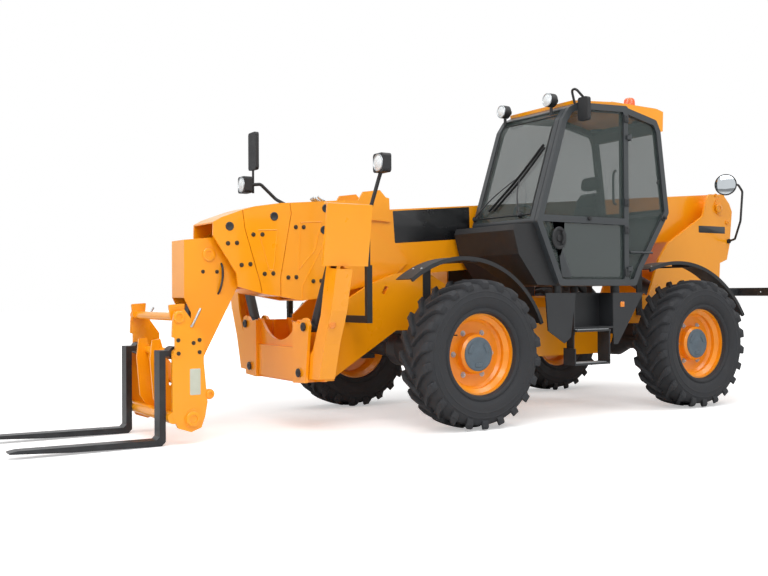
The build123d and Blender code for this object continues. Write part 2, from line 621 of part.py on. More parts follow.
# ------------------------------------------------------------------ stabilisers
def leg():
    """Left stabiliser leg: a channel open towards the chassis, on a long hinge tube at its foot."""
    front = CRADLE_FRONT_X - PLATE - LEG_ROOT_GAP
    rear = front - LEG_DEPTH
    skin_foot, skin_knee, skin_bend = (762, 462), (850, 750), (965, 1010)
    skin_top = (LEG_TOP_Y, LEG_TOP_Z)
    root = CRADLE_HALF_WIDTH + LEG_ROOT_GAP - LEG_PIVOT_Y       # clear of the cradle all the way down
    outline = [(LEG_PIVOT_Y + 0.9 * root, LEG_PIVOT_Z + 0.35 * root), (LEG_PIVOT_Y, LEG_PIVOT_Z + root),
               skin_foot, skin_knee,
               skin_bend, skin_top, (PAD_PIN_Y - 32, LEG_TOP_Z + 12), (PAD_PIN_Y + 10, PAD_PIN_Z - 110),
               (PAD_PIN_Y + 34, PAD_PIN_Z), (PAD_PIN_Y + 14, PAD_PIN_Z + 38),
               (PAD_PIN_Y - 34, PAD_PIN_Z + 30),
               (PAD_PIN_Y - 73, LEG_TOP_Z + 28), (836, 1175), (790, 978), (650, 687),
               (LEG_PIVOT_Y, LEG_PIVOT_Z - root),
               (LEG_PIVOT_Y + 0.9 * root, LEG_PIVOT_Z - 0.35 * root)]
    body = cross_plate(outline, front - LEG_WALL, front, corner=9)
    body = body + cross_plate(outline, rear, rear + LEG_WALL, corner=9)
    wall = LEG_WALL
    for (y, z), (next_y, next_z) in ((skin_foot, skin_knee), (skin_knee, skin_bend), (skin_bend, skin_top)):
        strip = [(y, z), (next_y, next_z), (next_y - wall, next_z), (y - wall, z)]
        body = body + cross_plate(strip, rear + 1, front - 1)
    foot = [(LEG_PIVOT_Y + 60, LEG_PIVOT_Z - 51), (750, 463), (754, 477),
            (LEG_PIVOT_Y + 60, LEG_PIVOT_Z - 37)]
    body = body + cross_plate(foot, rear + 1, front - 1)
    body = body + rod((rear, LEG_PIVOT_Y, LEG_PIVOT_Z), (front, LEG_PIVOT_Y, LEG_PIVOT_Z),
                      LEG_PIN_RADIUS + 20)
    for y, z, radius in ((LEG_PIVOT_Y, LEG_PIVOT_Z, LEG_PIN_RADIUS), (PAD_PIN_Y, PAD_PIN_Z, PAD_PIN_RADIUS)):
        body = body - rod((rear - 1, y, z), (front + 1, y, z), radius + RUN_GAP)
    return body


def strut_eye():
    """Upper pin of the folded left strut, on the line from the leg's pivot to the pad's pin."""
    dy, dz = PAD_PIN_Y - LEG_PIVOT_Y, PAD_PIN_Z - LEG_PIVOT_Z
    length = math.hypot(dy, dz)
    return LEG_PIVOT_Y + dy / length * STRUT_REACH, LEG_PIVOT_Z + dz / length * STRUT_REACH


def leg_pad():
    """Left foot plate with its folded rim and the lugs that hang it on the leg."""
    front = CRADLE_FRONT_X - PLATE - LEG_ROOT_GAP
    rear = front - LEG_DEPTH
    middle = (PAD_X[0] + PAD_X[1]) / 2
    inner, outer = PAD_PIN_Y + PAD_FACE, PAD_PIN_Y + PAD_FACE + PAD_PLATE
    half, z_half = (PAD_X[1] - PAD_X[0]) / 2, PAD_HEIGHT / 2
    low, high = PAD_PIN_Z - z_half, PAD_PIN_Z + z_half
    body = block(middle - half, middle + half, inner, outer, low, high)
    for x_from, x_to in ((front - LEG_WALL - LEG_ROOT_GAP - 16, front - LEG_WALL - LEG_ROOT_GAP),
                         (rear + LEG_WALL + LEG_ROOT_GAP, rear + LEG_WALL + LEG_ROOT_GAP + 16)):
        lug = [(PAD_PIN_Y - 26, PAD_PIN_Z - 30), (inner + 1, PAD_PIN_Z - 80), (inner + 1, PAD_PIN_Z + 110),
               (PAD_PIN_Y - 26, PAD_PIN_Z + 30)]
        body = body + cross_plate(lug, x_from, x_to, corner=10)
    body = body + block(middle - half, middle + half, inner - 40, inner + 1, high - 12, high)
    body = body + rod((rear + 1, PAD_PIN_Y, PAD_PIN_Z), (front - 1, PAD_PIN_Y, PAD_PIN_Z), PAD_PIN_RADIUS)
    pin = Axis((0, PAD_PIN_Y, PAD_PIN_Z), (1, 0, 0))
    return body.rotate(pin, -PAD_LEAN)


def cylinder_pair(base, eye, radii, base_eye, rod_eye, pin, stub, axis, showing=70.0, room=0.0):
    """Barrel and rod of a hydraulic cylinder between two pins.

    radii are the barrel's and the rod's, base_eye and rod_eye are (radius, half width) of the eyes, pin is the
    base bore's radius, and stub is (radius, half length) of the pin carried by the rod's eye. axis is the pins'
    direction, showing the rod's length out of the gland, and room the way that the rod can still go in.
    """
    base, eye, axis = Vector(*base), Vector(*eye), Vector(*axis)
    barrel_radius, rod_radius = radii
    run = (eye - base).normalized()
    gland = (eye - base).length - rod_eye[0] - showing
    bore_end = base_eye[0] + 40
    barrel = rod(base + run * (base_eye[0] * 0.6), base + run * gland, barrel_radius)
    barrel = barrel + rod(base - axis * base_eye[1], base + axis * base_eye[1], base_eye[0])
    barrel = barrel - rod(base + run * bore_end, base + run * (gland + 1), rod_radius + RUN_GAP)
    barrel = barrel - rod(base - axis * (base_eye[1] + 1), base + axis * (base_eye[1] + 1), pin + RUN_GAP)
    shaft = rod(base + run * (bore_end + 20 + room), eye, rod_radius)
    shaft = shaft + rod(eye - axis * rod_eye[1], eye + axis * rod_eye[1], rod_eye[0])
    shaft = shaft + rod(eye - axis * stub[1], eye + axis * stub[1], stub[0])
    return barrel, shaft


def strut_pair():
    """Barrel and rod of the left stabiliser's cylinder."""
    front = CRADLE_FRONT_X - PLATE - LEG_ROOT_GAP
    x = front - LEG_DEPTH / 2
    eye_y, eye_z = strut_eye()
    half = LEG_DEPTH / 2 - LEG_WALL
    return cylinder_pair((x, STRUT_PIN_Y, STRUT_PIN_Z), (x, eye_y, eye_z),
                         (STRUT_BARREL_RADIUS, STRUT_ROD_RADIUS),
                         (46.0, half), (32.0, half - 10), STRUT_PIN_RADIUS, (16.0, half - 1), (1, 0, 0))


def lift_pair():
    """Barrel and rod of the boom's lift cylinder."""
    x, z = boom_point(LIFT_EYE_U, LIFT_EYE_W)
    return cylinder_pair((LIFT_BASE_X, 0, LIFT_BASE_Z), (x, 0, z), (LIFT_BARREL_RADIUS, LIFT_ROD_RADIUS),
                         (78.0, 70.0), (60.0, 70.0), LIFT_PIN_RADIUS, (32.0, 84.0), (0, 1, 0))


def tilt_pair():
    """Barrel and rod of the carriage's tilt cylinder inside the boom's nose."""
    eye = (TIP_PIVOT_X + TILT_EYE_DX, 0, TIP_PIVOT_Z + TILT_EYE_DZ)
    return cylinder_pair((TILT_BASE_X, 0, TILT_BASE_Z), eye, (TILT_BARREL_RADIUS, TILT_ROD_RADIUS),
                         (50.0, 60.0), (42.0, 38.0), 25.0, (22.0, 44.0), (0, 1, 0), TILT_ROD_SHOWING,
                         TILT_ROOM)


# ------------------------------------------------------------------ boom
def boom_section(index):
    """One box section: its tube, its own slide pads and the pads in its mouth for the next section."""
    width, height, wall, rear, mouth = SECTION_TABLE[index][1:]
    low, high = BOOM_AXIS_W - height / 2, BOOM_AXIS_W + height / 2
    body = block(rear, mouth, -width / 2, width / 2, low, high)
    body = body - block(rear - 1, mouth + 1, -width / 2 + wall, width / 2 - wall, low + wall, high - wall)
    if index:
        previous = SECTION_TABLE[index - 1]
        body = body + pad_ring(rear, rear + PAD_RUN, width, height,
                               previous[1] - 2 * previous[3] - 2 * PAD_PLAY,
                               previous[2] - 2 * previous[3] - 2 * PAD_PLAY)
    if index < len(SECTION_TABLE) - 1:
        follower = SECTION_TABLE[index + 1]
        body = body + pad_ring(mouth - PAD_RUN, mouth, follower[1] + 2 * PAD_PLAY, follower[2] + 2 * PAD_PLAY,
                               width - 2 * wall, height - 2 * wall)
    return body


def pad_ring(start, stop, inner_width, inner_height, outer_width, outer_height):
    """Four slide pads round a section, between an inner and an outer rectangle."""
    outer = block(start, stop, -outer_width / 2, outer_width / 2, BOOM_AXIS_W - outer_height / 2,
                  BOOM_AXIS_W + outer_height / 2)
    inner = block(start - 1, stop + 1, -inner_width / 2, inner_width / 2, BOOM_AXIS_W - inner_height / 2,
                  BOOM_AXIS_W + inner_height / 2)
    ring = outer - inner
    corner_y, corner_z = outer_width / 2 - 60, outer_height / 2 - 60
    for side in (1, -1):
        for up in (1, -1):
            ring = ring - block(start - 1, stop + 1, side * corner_y, side * outer_width,
                                BOOM_AXIS_W + up * corner_z,
                                BOOM_AXIS_W + up * outer_height)
    return ring


def boom_head(index):
    """Fan-shaped side plates of a section's mouth, the collar that carries them and their closing strips."""
    width, height, mouth = (SECTION_TABLE[index][column] for column in (1, 2, 5))
    outline, top_edge, low_edge = HEAD_TABLE[index]
    half = HEAD_HALF_WIDTH
    plate = side_plate(outline, half - HEAD_PLATE, half)
    body = plate + mirrored(plate)
    if width / 2 < half - HEAD_PLATE:
        collar = block(mouth - 16, mouth, -half + 1, half - 1, BOOM_AXIS_W - height / 2 - 20,
                       BOOM_AXIS_W + height / 2 + 20)
        hole = block(mouth - 17, mouth + 1, -width / 2 + 1, width / 2 - 1, BOOM_AXIS_W - height / 2 + 1,
                     BOOM_AXIS_W + height / 2 - 1)
        body = body + (collar - hole)
    sheet = HEAD_SHEET
    for (u_from, w_from), (u_to, w_to) in zip(top_edge, top_edge[1:]):
        strip = [(u_from, w_from), (u_to, w_to), (u_to, w_to - sheet), (u_from, w_from - sheet)]
        body = body + side_plate(strip, -half + 1, half - 1)
    (u_from, w_from), (u_to, w_to) = low_edge
    strip = [(u_from, w_from), (u_to, w_to), (u_to, w_to + sheet), (u_from, w_from + sheet)]
    return body + side_plate(strip, -half + 1, half - 1)


def boom_outer():
    """Outer section with its head, tail bosses and the ears for the lift cylinder."""
    width, height, wall, rear = SECTION_TABLE[0][1:5]
    body = boom_section(0) + boom_head(0)
    body = body + (block(rear, rear + wall, -width / 2, width / 2, BOOM_AXIS_W - height / 2,
                         BOOM_AXIS_W + height / 2))
    inner = RAIL_Y - PLATE
    under = BOOM_AXIS_W - height / 2
    keel = [(KEEL_REAR_U, under + 2), (KEEL_REAR_U + 110, under - KEEL_DEPTH), (4420, under - KEEL_DEPTH),
            (4420, under + 2)]
    floor = [(KEEL_REAR_U + 110, under - KEEL_DEPTH), (4420, under - KEEL_DEPTH),
             (4420, under - KEEL_DEPTH + wall),
             (KEEL_REAR_U + 110, under - KEEL_DEPTH + wall)]
    body = body + side_plate(floor, -width / 2 + 1, width / 2 - 1)
    bracket = [(4385, 40), (4379, 252), (4414, 262), (4470, 329), (4646, 319), (4700, 246), (4850, 246),
               (4850, 100)]
    for side in (1, -1):
        body = body + side_plate(bracket, side * (width / 2 - 1), side * HEAD_HALF_WIDTH)
        body = body + side_plate(keel, side * (width / 2 - wall), side * width / 2)
        body = body + across(0, 0, 95, side * (width / 2 - wall), side * (inner - 7))
        body = body - across(0, 0, PIVOT_PIN_RADIUS + RUN_GAP, side * (width / 2 - wall - 1), side * inner)
        ear = [(LIFT_EYE_U - 260, under + 2), (LIFT_EYE_U + 260, under + 2),
               (LIFT_EYE_U + 60, LIFT_EYE_W - 60),
               (LIFT_EYE_U - 60, LIFT_EYE_W - 60)]
        plate = side_plate(ear, side * 90, side * 110, corner=30)
        body = body + plate + across(LIFT_EYE_U, LIFT_EYE_W, 55, side * 90, side * 124)
    return on_boom(body)


def boom_second():
    """Second section with its head."""
    return on_boom(boom_section(1) + boom_head(1))


def boom_third():
    """Third section with its head."""
    return on_boom(boom_section(2) + boom_head(2))


def boom_inner():
    """Innermost section and the dropped nose that carries the carriage."""
    body = on_boom(boom_section(3))
    half, wall = NOSE_HALF_WIDTH, NOSE_WALL
    px, pz = TIP_PIVOT_X, TIP_PIVOT_Z
    high = boom_point(SECTION_TABLE[2][5] + 2 * HEAD_GAP, BOOM_AXIS_W + SECTION_TABLE[3][2] / 2)
    low = boom_point(SECTION_TABLE[2][5] + 2 * HEAD_GAP, BOOM_AXIS_W - SECTION_TABLE[3][2] / 2)
    outline = [(4960, 1585), (4690, 1612), (4600, 1680), high, low, (4484, 1236), (4790, 655),
               (px - 118, pz + 90), (px - 40, pz - 78), (px + 50, pz - 74), (px + 88, pz + 20), (4900, 500),
               (4900, 1000), (4960, 1120)]
    plate = side_plate(outline, half - wall, half)
    body = body + plate + mirrored(plate)
    strips = (
        # closing sheets between the side plates
        [(4960, 1585), (4690, 1612), (4690, 1598), (4946, 1571)],
        [(4960, 1585), (4946, 1571), (4946, 1124), (4960, 1120)],
        [(4484, 1236), (4790, 655), (4802, 662), (4497, 1242)],
        [(4790, 655), (px - 118, pz + 90), (px - 106, pz + 96), (4802, 662)],
    )
    for strip in strips:
        body = body + side_plate(strip, -half + 1, half - 1)
    eye = across(px, pz, 72, -half, half) - across(px, pz, TIP_PIN_RADIUS + RUN_GAP, -half - 1, half + 1)
    body = body + eye - across(px, pz, TIP_PIN_RADIUS + RUN_GAP, -half - 1, half + 1)
    return body + across(TILT_BASE_X, TILT_BASE_Z, 25, -half - 8, half + 8)


# ------------------------------------------------------------------ carriage and forks
def carriage():
    """Fork carriage: side plates, cross tubes, fork shaft and the centre frame round the boom's nose."""
    px, pz = TIP_PIVOT_X, TIP_PIVOT_Z
    front = SHAFT_X + 42
    top_x, top_z = CROSS_TUBE_X, CROSS_TUBE_Z
    outline = [(top_x - 40, top_z + 56), (top_x + 36, top_z + 44), (front - 4, top_z - 40),
               (front, SHAFT_Z + 122),
               (front - 24, SHAFT_Z + 118), (front - 24, SHAFT_Z + 4), (front, SHAFT_Z),
               (front, REST_TUBE_Z + 15),
               (px + 122, pz - 66), (px + 20, pz - 101), (px - 62, pz - 72), (px - 92, pz + 10),
               (px - 112, pz + 120),
               (px - 84, SHAFT_Z - 75), (px - 84, SHAFT_Z + 118)]
    plate = side_plate(outline, CARRIAGE_Y - CARRIAGE_PLATE, CARRIAGE_Y, corner=7)
    plate = plate + across(px - 128, pz + 180, 40, CARRIAGE_Y - CARRIAGE_PLATE, CARRIAGE_Y)
    cover = across(px, pz, 74, CARRIAGE_Y - 1, CARRIAGE_Y + 6)
    inner = NOSE_HALF_WIDTH + 15
    centre = side_plate([(px - 60, pz - 40), (px + 60, pz - 60), (SHANK_BACK_X - 7, REST_TUBE_Z + 115),
                         (SHANK_BACK_X + 20, SHAFT_Z - 60), (SHANK_BACK_X + 3, SHAFT_Z + 90),
                         (SHAFT_X + 15, SHAFT_Z + 100),
                         (SHAFT_X - 35, SHAFT_Z - 80), (px + 70, pz + 240), (px - 50, pz + 50)],
                        inner, inner + 20, corner=8)
    tube = across(px, pz, 55, inner + 5, CARRIAGE_Y - 2)
    lift_eye = side_plate([(top_x - 50, top_z - 20), (top_x + 50, top_z - 20), (top_x + 62, top_z + 92),
                           (top_x - 62, top_z + 100)], CARRIAGE_Y - 76, CARRIAGE_Y - 54, corner=8)
    pieces = [plate, cover, centre, tube, lift_eye]
    pieces += [mirrored(piece) for piece in pieces]
    pieces.append(across(px, pz, TIP_PIN_RADIUS, -inner - 15, inner + 15))
    pieces.append(across(top_x, top_z, CROSS_TUBE_RADIUS, -CARRIAGE_Y + 2, CARRIAGE_Y - 2))
    pieces.append(across(SHAFT_X, SHAFT_Z, SHAFT_RADIUS, -CARRIAGE_Y - 6, CARRIAGE_Y + 6))
    rest_x = SHANK_BACK_X - REST_TUBE_RADIUS - SEAT_GAP
    pieces.append(across(rest_x, REST_TUBE_Z, REST_TUBE_RADIUS, -CARRIAGE_Y + 2, CARRIAGE_Y - 2))
    eye_x, eye_z = px + TILT_EYE_DX, pz + TILT_EYE_DZ
    for side in (1, -1):
        lug = side_plate([(eye_x - 38, eye_z - 20), (eye_x + 10, eye_z - 45), (SHAFT_X + 30, SHAFT_Z - 60),
                          (SHAFT_X + 30, SHAFT_Z + 10), (SHAFT_X - 30, SHAFT_Z + 10),
                          (eye_x - 38, eye_z + 40)],
                         side * 48, side * 66, corner=8)
        pieces.append(lug)
        pieces.append(across(eye_x, eye_z, 34, side * 48, side * 74))
    return fuse(pieces)


def fork():
    """Left fork: an L of flat bar with an eye that slides on the carriage's shaft."""
    back, thick = SHANK_BACK_X, FORK_THICKNESS
    tip, heel = FORK_TIP_X, FORK_HEEL_Z
    top = SHAFT_Z + 22
    outline = [(back, top), (back, heel + 30), (back + 30, heel), (back + 120, heel), (tip - 420, heel + 14),
               (tip, heel + 38), (tip, heel + 50), (tip - 60, heel + thick + 12),
               (back + thick + 22, heel + thick),
               (back + thick, heel + thick + 22), (back + thick, top)]
    y_from, y_to = FORK_Y - FORK_WIDTH / 2, FORK_Y + FORK_WIDTH / 2
    body = side_plate(outline, y_from, y_to)
    eye = across(SHAFT_X, SHAFT_Z, FORK_EYE_RADIUS, y_from, y_to)
    neck = block(SHAFT_X, back + 10, y_from, y_to, SHAFT_Z - 20, SHAFT_Z + 22)
    return body + eye + neck - across(SHAFT_X, SHAFT_Z, SHAFT_RADIUS + RUN_GAP, y_from - 1, y_to + 1)


# ------------------------------------------------------------------ cab


def cab_frame():
    """Safety frame of the cab: two side rings, cross members, floor, firewall and the lower rear wall."""
    left = side_plate(CAB_OUTLINE, CAB_LEFT_Y - CAB_FRAME, CAB_LEFT_Y, corner=40)
    left = left - side_plate(inset(CAB_OUTLINE, CAB_PILLAR), CAB_LEFT_Y - CAB_FRAME - 1, CAB_LEFT_Y + 1,
                             corner=25)
    left = left + block(PILLAR_B_X - CAB_PILLAR / 2, PILLAR_B_X + CAB_PILLAR / 2, CAB_LEFT_Y - CAB_FRAME,
                        CAB_LEFT_Y,
                        1230, 2860)
    right = side_plate(CAB_OUTLINE, CAB_RIGHT_Y, CAB_RIGHT_Y + CAB_FRAME, corner=40)
    right = right - side_plate(inset(CAB_OUTLINE, CAB_PILLAR), CAB_RIGHT_Y - 1, CAB_RIGHT_Y + CAB_FRAME + 1,
                               corner=25)
    y_from, y_to = CAB_RIGHT_Y + CAB_FRAME - 1, CAB_LEFT_Y - CAB_FRAME + 1
    solid = side_plate(CAB_OUTLINE, y_from, y_to, corner=40)
    beams = solid - side_plate(inset(CAB_OUTLINE, CAB_BEAM), y_from - 1, y_to + 1)
    walls = solid - side_plate(inset(CAB_OUTLINE, CAB_WALL), y_from - 1, y_to + 1)
    corners = (
        # beam stations seen from the left: x range, z range
        (2020, 2200, 1720, 1800), (1600, 1830, 2790, 2900), (490, 600, 2680, 2830), (380, 470, 1880, 1950),
    )
    pieces = [left, right]
    pieces += [beams & block(x_from, x_to, 0, 2000, z_from, z_to) for x_from, x_to, z_from, z_to in corners]
    pieces.append(walls & block(0, 3000, 0, 2000, 1100, 1790))
    pieces.append(walls & block(0, 860, 0, 2000, 1100, 1900))
    pieces.append(block(860, 1860, y_from, y_to, 1206, CAB_FLOOR_TOP))
    for x in OUTRIGGER_X:
        for y in (430, 980):
            pieces.append(rod((x, y, OUTRIGGER_TOP_Z + SEAT_GAP), (x, y, 1210), 42))
    for z in DOOR_HINGE_Z:
        for z_from in (z, z + 50):
            pieces.append(block(DOOR_HINGE_X - 12, DOOR_HINGE_X + 12, CAB_LEFT_Y - 1, DOOR_HINGE_Y, z_from,
                                z_from + 10))
            pieces.append(rod((DOOR_HINGE_X, DOOR_HINGE_Y, z_from),
                              (DOOR_HINGE_X, DOOR_HINGE_Y, z_from + 10), 12))
        pieces.append(rod((DOOR_HINGE_X, DOOR_HINGE_Y, z), (DOOR_HINGE_X, DOOR_HINGE_Y, z + 60), 7))
    return fuse(pieces)


def cab_roof():
    """Roof skin with its raised rear hood."""
    front = side_plate([(1640, 2800), (1650, 2880), (1150, 2915), (1150, 2860)], CAB_RIGHT_Y, CAB_LEFT_Y)
    hood = side_plate([(1160, 2860), (985, 2860), (580, 2780), (520, 2690), (470, 2700), (462, 2890),
                       (560, 2912),
                       (1160, 2918)], CAB_RIGHT_Y, CAB_LEFT_Y)
    return front + hood - cab_solid()


def cab_solid():
    """Outer shape of the cab's frame with the seating gap around it, for cutting what lies on it."""
    return side_plate(inset(CAB_OUTLINE, -SEAT_GAP), CAB_RIGHT_Y - 1, CAB_LEFT_Y + 1, corner=40)


def cab_glass():
    """Windscreen, rear window, right window and left quarter window, each in its own opening."""
    y_from, y_to = CAB_RIGHT_Y + CAB_FRAME + SEAT_GAP, CAB_LEFT_Y - CAB_FRAME - SEAT_GAP
    pane = side_plate(inset(CAB_OUTLINE, 10), y_from, y_to) - side_plate(inset(CAB_OUTLINE, 10 + GLASS), 0,
                                                                         2000)
    screen = pane & block(1600, 2300, 0, 2000, 1800 + SEAT_GAP, 2790 - SEAT_GAP)
    rear = pane & block(380, 560, 0, 2000, 1950 + SEAT_GAP, 2680 - SEAT_GAP)
    edge = CAB_PILLAR + SEAT_GAP
    right = side_plate(inset(CAB_OUTLINE, edge), CAB_RIGHT_Y + 20, CAB_RIGHT_Y + 20 + GLASS, corner=25)
    quarter = side_plate(inset(CAB_OUTLINE, edge), CAB_LEFT_Y - 26, CAB_LEFT_Y - 26 + GLASS, corner=25)
    quarter = quarter & block(0, PILLAR_B_X - CAB_PILLAR / 2 - SEAT_GAP, 0, 2000, 1000, 3000)
    return [screen, rear, right, quarter]


def cab_nose():
    """Moulded console ahead of the windscreen that houses the lamps' wiring and heater."""
    outline = [(2122, 1752), (2330, 1742), (2350, 1690), (2290, 1480), (2080, 1215), (1868, 1208)]
    solid = side_plate(CAB_OUTLINE, CAB_RIGHT_Y, CAB_LEFT_Y, corner=40)
    return side_plate(outline, CAB_RIGHT_Y + 10, CAB_LEFT_Y - 10) - Pos(SEAT_GAP, 0, 0) * solid


def cab_console():
    """Dash with its steering column, side console and floor mat."""
    dash = side_plate([(2050, 1700), (1900, 1730), (1880, 1640), (1930, 1560), (1975, 1500)], 320, 1030)
    floor = CAB_FLOOR_TOP + SEAT_GAP
    foot = side_plate([(1950, 1500), (1830, floor), (1710, floor), (1770, 1300), (1850, 1560), (1940, 1600)],
                      560, 800)
    hub = Vector(*STEERING_HUB)
    column_dir = Vector(*STEERING_AXIS).normalized()
    column = rod((1900, 680, 1700), hub - column_dir * SEAT_GAP, 30)
    side = block(980, 1700, 305, 420, floor, 1690)
    return fuse((dash, foot, column)) + side


def steering_wheel():
    """Steering wheel on the column's end: rim, three spokes and hub."""
    rim_radius, grip = 185.0, 15.0
    profile = Pos(rim_radius, 0, 18) * Rot(90, 0, 0) * Circle(grip)
    ring = revolve(profile, axis=Axis.Z)
    body = ring + Pos(0, 0, 17) * Cylinder(45, 34)
    for i in range(3):
        spoke = Pos(rim_radius / 2, 0, 18) * Box(rim_radius - 4, 26, 12)
        body = body + Rot(0, 0, 90 + 120 * i) * spoke
    tilt = math.degrees(math.atan2(STEERING_AXIS[0], STEERING_AXIS[2]))
    return Pos(*STEERING_HUB) * Rot(0, tilt, 0) * body


def seat():
    """Driver's seat: cushion and back on a suspension pedestal."""
    pedestal = block(1060, 1420, 560, 880, CAB_FLOOR_TOP + SEAT_GAP, 1480)
    seat_z = 1480 + SEAT_GAP
    cushion = side_plate([(1000, seat_z), (1520, seat_z), (1540, 1560), (1500, 1600), (1120, 1590),
                          (1000, 1600)], 470, 960)
    back = side_plate([(1010, 1560), (1130, 1560), (1050, 2200), (960, 2260), (930, 2200)], 490, 940)
    return fuse((pedestal, cushion, back))


def door():
    """Door frame on the left with its middle rail."""
    y_from = CAB_LEFT_Y + DOOR_GAP
    outline = door_outline()
    body = side_plate(outline, y_from, y_from + DOOR_THICKNESS, corner=30)
    body = body - side_plate(inset(outline, CAB_PILLAR), y_from - 1, y_from + DOOR_THICKNESS + 1, corner=20)
    rail = side_plate([(DOOR_REAR_X + 10, 1770), (2100, 1770), (2090, 1830), (DOOR_REAR_X + 10, 1830)],
                      y_from,
                      y_from + DOOR_THICKNESS) & side_plate(inset(outline, 10), y_from - 1, y_from + 100)
    body = body + rail
    for z in DOOR_HINGE_Z:
        low, high = z + 12, z + 48
        ear = block(DOOR_HINGE_X, DOOR_REAR_X + 30, DOOR_HINGE_Y - 12, DOOR_HINGE_Y + 12, low, high)
        ear = ear + rod((DOOR_HINGE_X, DOOR_HINGE_Y, low), (DOOR_HINGE_X, DOOR_HINGE_Y, high), 12)
        body = body + ear - rod((DOOR_HINGE_X, DOOR_HINGE_Y, low - 1),
                                (DOOR_HINGE_X, DOOR_HINGE_Y, high + 1), 7.5)
    return body


def door_outline():
    """The cab's outline ahead of the rear edge of the door."""
    front = [p for p in CAB_OUTLINE if p[0] > PILLAR_B_X + 1]
    return list(front[:5]) + [(DOOR_REAR_X, 2884), (DOOR_REAR_X, 1205)]


def door_glass():
    """Upper and lower panes of the door."""
    y_from = CAB_LEFT_Y + DOOR_GAP + 16
    field = side_plate(inset(door_outline(), CAB_PILLAR + SEAT_GAP), y_from, y_from + GLASS, corner=20)
    upper = field & block(0, 3000, 0, 2000, 1830 + SEAT_GAP, 3000)
    lower = field & block(0, 3000, 0, 2000, 1000, 1770 - SEAT_GAP)
    return [upper, lower]


def beacon():
    """Beacon on the roof hood."""
    return rod((700, 900, 2915), (700, 900, 2935), 62) + rod((700, 900, 2934), (700, 900, 3040), 48)


def lamps():
    """Two lamps on the roof header, a headlamp on a tall post each side of the front, and two tail lamps."""
    pieces = []
    for y in (300, 950):
        lamp = rod((1740, y, 2893), (1815, y, 2893), 62) + rod((1700, y, 2893), (1741, y, 2893), 24)
        foot = rod((1765, y, 2740), (1765, y, 2850), 14) - cab_solid()
        pieces.append(lamp + foot)
    for side in (1, -1):
        near = RAIL_Y + SEAT_GAP
        post = block(3560, 3600, side * near, side * 740, 900, 960) + block(3560, 3610, side * 700,
                                                                            side * 740, 900, 1380)
        if side > 0:
            route = [(3585, 720, 1370), (3585, 720, 1780), (3530, 800, 2090), (3535, 860, 2170)]
            x, y, z = 3500, 870, 2210
        else:
            route = [(3585, -720, 1370), (3585, -720, 1980), (3648, -880, 2060), (3800, -900, 2200),
                     (3930, -900, 2185)]
            x, y, z = 3920, -900, 2183
            post = post + rod((3878, -900, 2110), (3878, -900, 2400), 11)
        pieces.append(post + bent_tube(route, 16, 40) + lamp_head(x, y, z))
    for side in (1, -1):
        pieces.append(block(REAR_END_X - 45, REAR_END_X - SEAT_GAP, side * 900, side * 1060, REAR_BAR_Z - 45,
                            REAR_BAR_Z + 45))
    return pieces


def lamp_head(x, y, z):
    """Square headlamp with rounded corners, looking forwards."""
    half, corner = 78, 26
    outline = [(y - half, z - half), (y + half, z - half), (y + half, z + half), (y - half, z + half)]
    return cross_plate(outline, x, x + 80, corner=corner)


def mirrors():
    """Rear mirror on its bent arm, and the tall mirror of the right lamp post."""
    near = RAIL_Y + SEAT_GAP
    base = across(-1475, 1722, 26, near, near + 20)
    tube = bent_tube([(-1475, near + 10, 1722), (-1450, 470, 1740), (-1325, 640, 1930), (-1362, 640, 2260),
                      (-1290, 640, 2330), (-1120, 655, 2318)], 12, 40)
    look = Vector(*REAR_MIRROR_LOOK).normalized()
    centre = Vector(-1075, 640, 2318)
    head = rod(centre - look * 16, centre + look * 14, 116) + rod((-1130, 655, 2318), centre, 10)
    tall = cross_plate([(-985, 2330), (-815, 2330), (-815, 2690), (-985, 2690)], 3855, 3889, corner=25)
    return [base + tube + head, tall - rod((3878, -900, 2300), (3878, -900, 2400.0), 11 + SEAT_GAP)]


def door_mirror():
    """Mirror on a bent arm that stands on the door's upper front corner."""
    outer = CAB_LEFT_Y + DOOR_GAP + DOOR_THICKNESS
    arm = bent_tube([(1650, outer - 20, 2830), (1690, outer - 20, 2960), (1716, 1215, 2960),
                     (1626, 1230, 2880)], 11, 30)
    seat = side_plate(inset(door_outline(), -SEAT_GAP), outer - DOOR_THICKNESS - 1, outer + 1)
    housing = cross_plate([(1166, 2680), (1290, 2680), (1290, 2890), (1166, 2890)], 1606, 1646, corner=25)
    return (arm - seat) + housing


# ------------------------------------------------------------------ assembly
def at_wheel(shape, front, left):
    """A left wheel piece drawn at the origin, put in its place and mirrored for the right."""
    placed = Pos(WHEELBASE if front else 0.0, 0, TYRE_RADIUS) * shape
    return placed if left else mirrored(placed)


